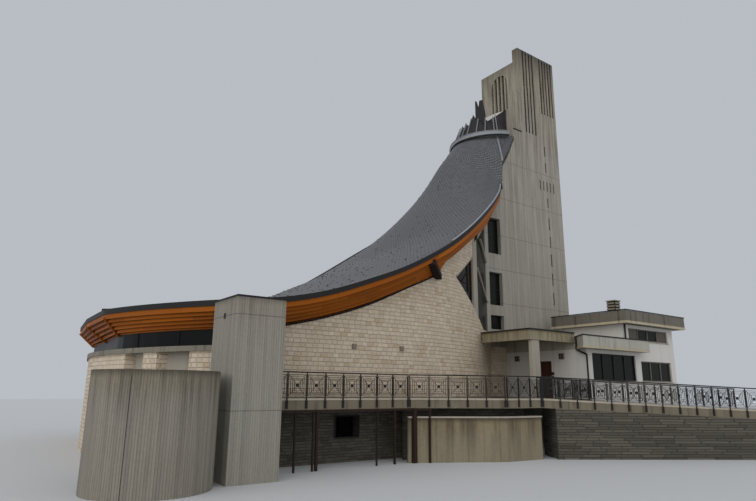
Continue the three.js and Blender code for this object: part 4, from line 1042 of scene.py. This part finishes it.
make_railings()
make_kerbs()
make_under_deck()


# Tower and glazing
def round_wall(points, radius):
    """The points moved in plan onto a circle: BEND_CENTRE + radius * the direction from it."""
    points = np.array(points, float)
    flat = unit((points - (*BEND_CENTRE, 0)) * (1, 1, 0)) * radius + (*BEND_CENTRE, 0)
    flat[:, 2] = points[:, 2]
    return flat


def make_glazing_bars():
    """Bars on the notched glazing beside the tower, put on its circle, and in the tower's window bays."""
    def round_rods(starts, ends, radius, width, depth):
        return rods(round_wall(starts, radius), round_wall(ends, radius), width, depth)

    dark = round_rods([(17.95, -2.2, 8.4), (18.3, -2.05, 8.0)], [(17.9, -2.2, 10.3), (18.3, -2.05, 10.45)],
                      15.9, [0.16, 0.06], 0.06)
    thin = round_rods([(16.6, -2.7, 9.0), (16.9, -2.6, 8.6)], [(18.4, -2.0, 8.75), (18.4, -2.0, 10.1)],
                      15.9, 0.025, 0.03)
    border = round_rods([(18.36, -2.08, 10.5)], [(16.4, -2.8, 9.04)], 15.99, 0.12, 0.06)
    struts = rods(round_wall([(20.0, -1.2, 12.0), (19.15, -1.62, 10.05)], 15.97),
                  [(21.62, -0.12, 10.95), (21.62, -0.1, 8.38)], 0.1, 0.1)
    branch = round_rods([(19.2, -1.6, 11.9)], [(20.3, -1.05, 12.75)], 15.97, 0.14, 0.1)
    piece("notch_bars", together(dark, thin), BROWN_STEEL)
    piece("notch_concrete", together(border, struts, branch), PALE_CONCRETE, bevel=0.01)
    parts = []
    for low, high in ((11.7, 14.15), (8.3, 10.45), (6.75, 7.65)):
        if high - low > 1.5:
            middle = (low + high) / 2
            parts.append(rods((22.0, 0.28, middle), (23.2, 0.28, middle), 0.03, 0.03))
        x, z = np.array([22.02, 23.17]), np.array([low + 0.02, high - 0.03])
        parts.append(rods(at(x, 0.27, low), at(x, 0.27, high), 0.05, 0.05))
        parts.append(rods(at(22.0, 0.27, z), at(23.2, 0.27, z), 0.05, 0.05))
    piece("bay_bars", together(*parts), DARK_METAL)


CROWN_CENTRE = np.array([26.0, 3.1, 0.0])


def crown_point(radius, angle, z):
    """A point of the crown's rings: the centre plus the radius at an angle; angle 0 looks down the roof.

    From there to 0.6 radians the radius shrinks by 0.21 m.
    """
    angle = np.asarray(angle, float)
    r = radius - 0.21 * np.clip(angle / 0.6, 0, 1)
    return at(CROWN_CENTRE[0] - r * np.cos(angle), CROWN_CENTRE[1] + r * np.sin(angle), z)


def crown_sweep(radius, half_turn, rows, z, profile):
    """A profile swept round the crown, from minus to plus half a turn in degrees."""
    angle = np.radians(np.linspace(-half_turn, half_turn, rows))
    outward = unit(crown_point(radius, angle, 0) - CROWN_CENTRE)
    return sweep(crown_point(radius, angle, z), outward, (0, 0, 1), profile)


def blade_row(radius, lean, tops, thickness=0.045):
    """Blades through (angle, top) pairs: point(angle, h) = ring point at radius - lean * h, at height h."""
    angle, top = np.array(tops, float).T
    rise = (top - RING_TOP)[:, None] * np.linspace(0, 1, 3)
    grid = crown_point(radius - lean * rise, np.radians(angle)[:, None], RING_TOP - 0.06 + rise)
    return plate(grid, unit(CROWN_CENTRE - grid[:, :1] * (1, 1, 0)) * thickness)


RING_TOP = 21.05
# A low blade has the angles of its two edges in degrees, then their tops; a tall one an angle and a
# top for each edge. LANTERN is x, y and radius.
LOW_BLADES = [(8, -0.5, 22.32, 21.85), (-1, -9.5, 22.4, 22.05), (-10, -23.5, 23.14, 22.3),
              (-24, -35.5, 22.46, 21.6), (-36, -47.5, 22.45, 21.5), (-48, -60, 22.5, 21.5),
              (8.5, 19.5, 22.32, 21.8), (20, 31.5, 22.4, 21.7), (32, 43.5, 22.4, 21.6), (44, 56, 22.4, 21.5)]
TALL_BLADES = [(-17.5, 24.08), (-20, 24.08), (-24, 23.52), (-25.5, 24.05), (-31.5, 24.08), (-36, 22.9)]
LANTERN = (25.9, 3.1, 1.75)


def lantern_rim(x, y):
    """Height of the lantern's slanted top: rising 0.86 a metre towards the shaft, a little domed."""
    v = (y - LANTERN[1]) / LANTERN[2]
    return 23.59 + 0.86 * (x - LANTERN[0]) + 0.2 * (1 - v * v) * (x - LANTERN[0] + LANTERN[2]) / LANTERN[2]


def make_crown():
    """The ring's edges, and the saw-toothed blades with their pale ribs."""
    drip = crown_sweep(3.33, 66, 49, 20.72, [(-0.06, -0.03), (0.012, -0.03), (0.016, 0.06), (-0.06, 0.06)])
    lip = crown_sweep(3.33, 66, 49, RING_TOP, rectangle(-0.2, 0.025, -0.02, 0.015))
    piece("crown_drip", drip, DARK_METAL, smooth=40)
    piece("crown_lip", lip, ZINC, smooth=40)
    low = [blade_row(3.11, 0.42, [(a, high), (b, dip)]) for a, b, high, dip in LOW_BLADES]
    tall = blade_row(2.4, 0.0, TALL_BLADES, 0.06)
    tray = crown_sweep(2.6, 64, 33, 20.95, rectangle(-0.5, 0.53, -0.05, 0.05))
    piece("crown_blades", together(tray, tall, *low), BLADE, stands_for=("crown_fins",))
    angle, top = np.array([(row[0], row[2]) for row in LOW_BLADES] + [(-52, 22.7), (56, 22.3)]).T
    angle, reach = np.radians(angle), np.minimum(top, 22.7) - RING_TOP
    foot = crown_point(3.16, angle, RING_TOP - 0.05)
    head = crown_point(3.16 - 0.42 * reach, angle, RING_TOP + reach)
    ribs = rods(foot, head, 0.06, 0.07, up=unit((foot - CROWN_CENTRE) * (1, 1, 0)))
    piece("crown_ribs", ribs, PALE_ZINC)


def make_lantern():
    """The lantern behind the blades: half a round wall up to its slanted rim, and the light panel in it."""
    angle = np.radians(np.linspace(90.2, 269.8, 37))
    cos, sin = np.cos(angle), np.sin(angle)
    x, y = LANTERN[0] + LANTERN[2] * cos, LANTERN[1] + LANTERN[2] * sin
    rim = at(x, y, lantern_rim(x, y))
    wall = plate(np.stack([at(x, y, 20.905), rim], 1), at(-cos, -sin, 0)[:, None] * 0.08)
    piece("lantern_wall", together(wall, rods(rim[:-1], rim[1:], 0.06, 0.06)), LANTERN_WALL,
          stands_for=("crown_lantern",), smooth=30)
    reach = LANTERN[2] * np.linspace(0.02, 0.97, 8)
    x, y = LANTERN[0] + cos[:, None] * reach, LANTERN[1] + sin[:, None] * reach
    panel = plate(at(x, y, lantern_rim(x, y) - 0.05), (0, 0, -0.04))
    piece("lantern_light", panel, LANTERN_FACE, smooth=30)


def make_tower_slots():
    """The arch's slats, a ledge's edge, and dark sheets in the slots, behind the arch and over the slots'
    open tops; those in the slots and the arch are painted shade.
    """
    y = np.linspace(1.36, 2.44, 4)
    round_top = 25.9 + np.sqrt(0.75 ** 2 - (y - 1.9) ** 2)
    slats = rods(at(26.02, y, 23.59), at(26.02, y, round_top), 0.14, 0.16, up=(1, 0, 0))
    piece("arch_slats", slats, TOWER_CONCRETE)
    ledge = rods((25.06, -0.01, 21.33), (25.93, -0.01, 21.33), 0.07, 0.05)
    piece("ledge_flashing", ledge, DARK_METAL)
    tall = [(x, x + 0.17, 21.45, 28.0) for x in (26.45, 26.8, 27.15, 27.5)]
    tall += [(x, x + 0.16, 23.5, 28.0) for x in (28.4, 28.73, 29.06, 29.39, 29.72)]
    short = [(x, x + 0.12, 17.25, 18.0) for x in (27.7, 28.08, 28.46, 28.84, 29.22)]
    short += [(28.44, 28.56, z, z + 0.8) for z in (20.0, 18.7, 16.0, 14.35, 13.0, 11.65, 10.25, 8.85)]
    left, right, low, high = np.array(tall + short).T
    # Painted shade: dark sheets set just inside the slots and behind the arch make them look as dark as their
    # shade.
    sheets = blocks(at(left, 0.05, low), at(right, 0.09, high))
    arch = blocks((26.12, 1.16, 23.61), (26.15, 2.64, 25.95))
    open_tops = blocks(at(left, -0.004, 27.98)[:len(tall)], at(right, 0.2, 28.201)[:len(tall)])
    piece("tower_slot_shade_sheets", together(sheets, arch, open_tops), DARK_METAL)


def make_ridge_hood():
    """A low sheet hood where the ridge comes down to the end edge: four sides from base to ridge.

    point = base + (ridge - base) * share for each corner.
    """
    base = np.array([(0.45, 6.95, 6.35), (1.5, 6.75, 6.4), (1.6, 7.6, 6.45), (0.55, 7.8, 6.4)])
    ridge = np.array([(0.8, 7.3, 6.93), (1.15, 7.2, 6.96), (1.2, 7.3, 6.96), (0.85, 7.4, 6.93)])
    share = np.linspace(0, 1, 3)[None, :, None]
    sides = base[:, None] + (ridge - base)[:, None] * share
    cover = plate(sides[[0, 1, 2, 3, 0]], (0, 0, -0.03))
    cap = rods((0.78, 7.37, 6.93), (1.22, 7.26, 6.96), 0.16, 0.05)
    piece("ridge_hood", together(cover, cap), DARK_METAL)


def make_pier_details():
    """The pier's dark top edge and a dark square of painted shade for its small hole, and the drum's one
    upright joint.
    """
    low, high = (np.array(corner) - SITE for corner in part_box("corner_pier"))
    # The third block is a thin dark square on the pier's left face: painted shade for the small hole, which
    # is not cut.
    lows = [(low[0] - 0.012, low[1] - 0.012, high[2] - 0.06)] * 2 + [(low[0] - 0.006, -5.55, 5.42)]
    highs = [(high[0] + 0.012, low[1] + 0.002, high[2] + 0.004),
             (low[0] + 0.002, high[1] + 0.012, high[2] + 0.004), (low[0] + 0.01, -5.36, 5.62)]
    piece("pier_edges_and_hole_shade", blocks(lows, highs), DARK_METAL, bevel=0.002)
    joint = rods((-0.855, -7.349, 0.02), (-0.855, -7.349, 3.4), 0.012, 0.012)
    piece("drum_joint", joint, DARK_METAL)


make_glazing_bars()
make_crown()
make_lantern()
make_tower_slots()
make_ridge_hood()
make_pier_details()


# Porch, annex and door
def window_frame(x0, x1, z0, z1, panes):
    """A frame with mullions: rods round the rectangle, and upright ones between its equal panes."""
    y = -5.69
    x = np.clip(np.linspace(x0, x1, panes + 1), x0 + 0.03, x1 - 0.03)
    z = np.array([z0 + 0.03, z1 - 0.03])
    level = rods(at(x0, y, z), at(x1, y, z), 0.07, 0.06)
    return together(rods(at(x, y, z0), at(x, y, z1), 0.06, 0.07), level)


def make_annex_windows():
    """The frames, blinds and sills of the annex's windows, and the stone beside the tower's low bay."""
    piece("annex_frame_1", window_frame(23.8, 28.2, 3.6, 5.1, 4), DARK_METAL, bevel=0.005)
    frames = together(window_frame(28.8, 32.3, 3.6, 4.8, 3), window_frame(27.7, 32.2, 6.03, 6.75, 4))
    piece("annex_frames", frames, FRAME_PAINT, bevel=0.005)
    blinds = blocks([(27.76, -5.688, 6.08), (31.12, -5.688, 6.08)],
                    [(28.76, -5.674, 6.71), (32.14, -5.674, 6.71)])
    piece("window_blinds", blinds, BLIND, bevel=0.002)
    cladding = blocks((21.72, -0.03, 2.61), (23.27, -0.002, 5.64))
    piece("porch_stone", cladding, NAVE_STONE, bevel=0.003)
    sills = blocks([(23.75, -5.86, 3.54), (28.75, -5.86, 3.54), (27.65, -5.86, 5.97)],
                   [(28.25, -5.62, 3.6), (32.35, -5.62, 3.6), (32.25, -5.62, 6.03)])
    piece("annex_sills", sills, PALE_CONCRETE, bevel=0.006)


def make_annex_edges():
    """Dark flashings on the edges of the canopy and of the flat roofs, and the downpipes."""
    flashings = blocks(
        [(19.36, -5.14, 6.2), (22.2, -6.43, 5.96), (26.55, -6.43, 7.71), (19.36, -5.14, 6.2),
         (26.55, -6.43, 7.71), (33.4, -6.43, 7.71), (26.55, -1.13, 7.71)],
        [(23.3, -5.08, 6.26), (28.83, -6.37, 6.03), (33.46, -6.37, 7.76), (19.42, -1.6, 6.26),
         (26.61, -1.07, 7.76), (33.46, -1.07, 7.76), (33.46, -1.07, 7.76)])
    oblique = rods((22.2, -6.4, 5.995), (23.28, -5.12, 5.995), 0.07, 0.06)
    piece("roof_flashings", together(flashings, oblique), DARK_METAL, bevel=0.006)
    bends = np.array([(22.94, -5.42, 5.95), (22.94, -5.42, 5.25), (23.22, -5.86, 5.0), (23.22, -5.86, 2.62)])
    pipes = together(rods(bends[:-1], bends[1:], 0.09, sides=10),
                     rods((27.25, -5.87, 6.02), (27.25, -5.87, 6.95), 0.09, sides=10))
    piece("downpipes", pipes, DARK_METAL, smooth=40)


def make_lamps():
    """Square lamps on the door wall and the nave, the cells of the first two, and two small plates."""
    lamps = blocks([(23.2, -4.34, 4.78), (23.2, -1.07, 4.74), (9.27, -3.47, 4.78), (11.98, -3.47, 4.8)],
                   [(23.3, -4.0, 5.12), (23.3, -0.73, 5.08), (9.49, -3.39, 5.0), (12.2, -3.37, 5.02)])
    piece("wall_lamps", lamps, LAMP_BOX, bevel=0.01)
    cells = []
    for y, z in ((-4.34, 4.78), (-1.07, 4.74)):
        for i in (0.04, 0.19):
            for j in (0.04, 0.19):
                cells.append(((23.19, y + i, z + j), (23.205, y + i + 0.11, z + j + 0.11)))
    cells.append(((23.24, -3.56, 3.9), (23.3, -3.42, 4.06)))
    cells.append(((23.24, -3.54, 3.72), (23.3, -3.44, 3.84)))
    piece("lamp_cells", blocks(*zip(*cells)), DARK_METAL)


def make_annex_top():
    """Light bands on the edges of the flat roofs, and the rings of louvres on the chimney."""
    bands = together(
        blocks([(22.25, -6.415, 5.295), (28.7, -6.415, 5.295), (26.565, -6.415, 6.945), (33.3, -6.415, 6.945),
                (26.565, -6.415, 6.945)],
               [(28.815, -6.3, 5.42), (28.815, -5.83, 5.42), (33.445, -6.3, 7.09), (33.445, -1.085, 7.09),
                (26.7, -1.085, 7.09)]),
        rods((22.215, -6.4, 5.357), (23.28, -5.14, 5.357), 0.1, 0.125))
    piece("roof_edge_bands", bands, EDGE_BAND, bevel=0.004)
    level = np.arange(7.86, 8.8, 0.19)
    parts = []
    for low, high in (((29.6, -3.93), (30.21, -3.89)), ((29.6, -3.36), (30.21, -3.32)),
                      ((29.6, -3.93), (29.64, -3.32)), ((30.17, -3.93), (30.21, -3.32))):
        parts.append(blocks(at(*low, level), at(*high, level + 0.1)))
    parts.append(blocks((29.57, -3.96, 8.8), (30.24, -3.29, 8.87)))
    piece("chimney_louvres", together(*parts), LOUVRE)


def make_door():
    """Raised panels and a handle on the leaf; they move with the door."""
    x = 23.5
    panels = []
    for z0, z1 in ((2.75, 3.55), (3.65, 4.5)):
        for y0, y1 in ((-3.26, -2.98), (-2.9, -2.62)):
            panels.append(blocks((x - 0.012, y0, z0), (x + 0.002, y1, z1)))
    piece("door_panels", together(*panels), DOOR_PAINT, body="door", bevel=0.005)
    handle = together(rods((x - 0.05, -3.24, 3.5), (x - 0.05, -3.24, 3.9), 0.025, sides=10),
                      rods([(x - 0.05, -3.24, 3.52), (x - 0.05, -3.24, 3.88)],
                           [(x + 0.001, -3.24, 3.52), (x + 0.001, -3.24, 3.88)], 0.02, sides=10))
    piece("door_handle", handle, ZINC, body="door", smooth=40)


make_annex_windows()
make_annex_edges()
make_lamps()
make_annex_top()
make_door()


# Floor, light and camera
def make_floor():
    """The level floor: one light grey square."""
    half = 120.0
    corners = [(-half, -half, 0), (half, -half, 0), (half, half, 0), (-half, half, 0)]
    mesh = bpy.data.meshes.new("floor")
    mesh.from_pydata(corners, [], [(0, 1, 2, 3)])
    floor = bpy.data.objects.new("floor", mesh)
    bpy.context.scene.collection.objects.link(floor)
    f = Finish("floor_paint", 0.9)
    f.shader.inputs["Base Color"].default_value = (0.55, 0.55, 0.55, 1.0)
    mesh.materials.append(f.material)


def make_light():
    """A grey-blue sky and three wide, soft suns: name, strength, width and turn in degrees."""
    scene = bpy.context.scene
    world = bpy.data.worlds.new("studio")
    world.use_nodes = True
    back = world.node_tree.nodes["Background"]
    back.inputs["Color"].default_value = (0.60, 0.64, 0.69, 1.0)
    back.inputs["Strength"].default_value = 0.8
    scene.world = world
    suns = (("sky_light", 1.2, 75.0, (60, 0, -66)), ("fill_light", 0.35, 80.0, (62, 0, 20)),
            ("back_light", 0.25, 80.0, (60, 0, 150)))
    for name, energy, size, turn in suns:
        lamp = bpy.data.lights.new(name, "SUN")
        lamp.energy = energy
        lamp.angle = math.radians(size)
        lit = bpy.data.objects.new(name, lamp)
        lit.rotation_euler = [math.radians(v) for v in turn]
        scene.collection.objects.link(lit)
    scene.view_settings.view_transform = "Standard"


FOCAL_PIXELS = 571.0
PICTURE_WIDTH = 756.0
EYE = (-5.0, -25.0, 3.1)


def make_camera():
    """The photograph's viewing angle, from its vanishing lines: pitch, roll and yaw of a level eye.

    The axes x, y and z of the site, seen from the eye, give the camera's own axes; its lens is the
    sensor's width times FOCAL_PIXELS over PICTURE_WIDTH.
    """
    pitch, roll, yaw = (math.radians(v) for v in (13.4965, 0.5135, 54.05))
    turn = np.array([[math.cos(roll), -math.sin(roll), 0], [math.sin(roll), math.cos(roll), 0], [0, 0, 1]])

    def level(angle):
        return turn @ [math.sin(angle), math.cos(angle) * math.sin(pitch), math.cos(angle) * math.cos(pitch)]

    axes = np.stack([level(yaw), level(yaw - math.pi / 2), turn @ [0, -math.cos(pitch), math.sin(pitch)]])
    placed = np.eye(4)
    placed[:3, :3] = axes * (1, -1, -1)
    placed[:3, 3] = SITE + EYE
    lens = bpy.data.cameras.new("camera")
    lens.sensor_width = 36.0
    lens.lens = lens.sensor_width * FOCAL_PIXELS / PICTURE_WIDTH
    lens.clip_end = 1000.0
    camera = bpy.data.objects.new("camera", lens)
    bpy.context.scene.collection.objects.link(camera)
    camera.matrix_world = [tuple(column) for column in placed.T]
    bpy.context.scene.camera = camera


make_floor()
make_light()
make_camera()
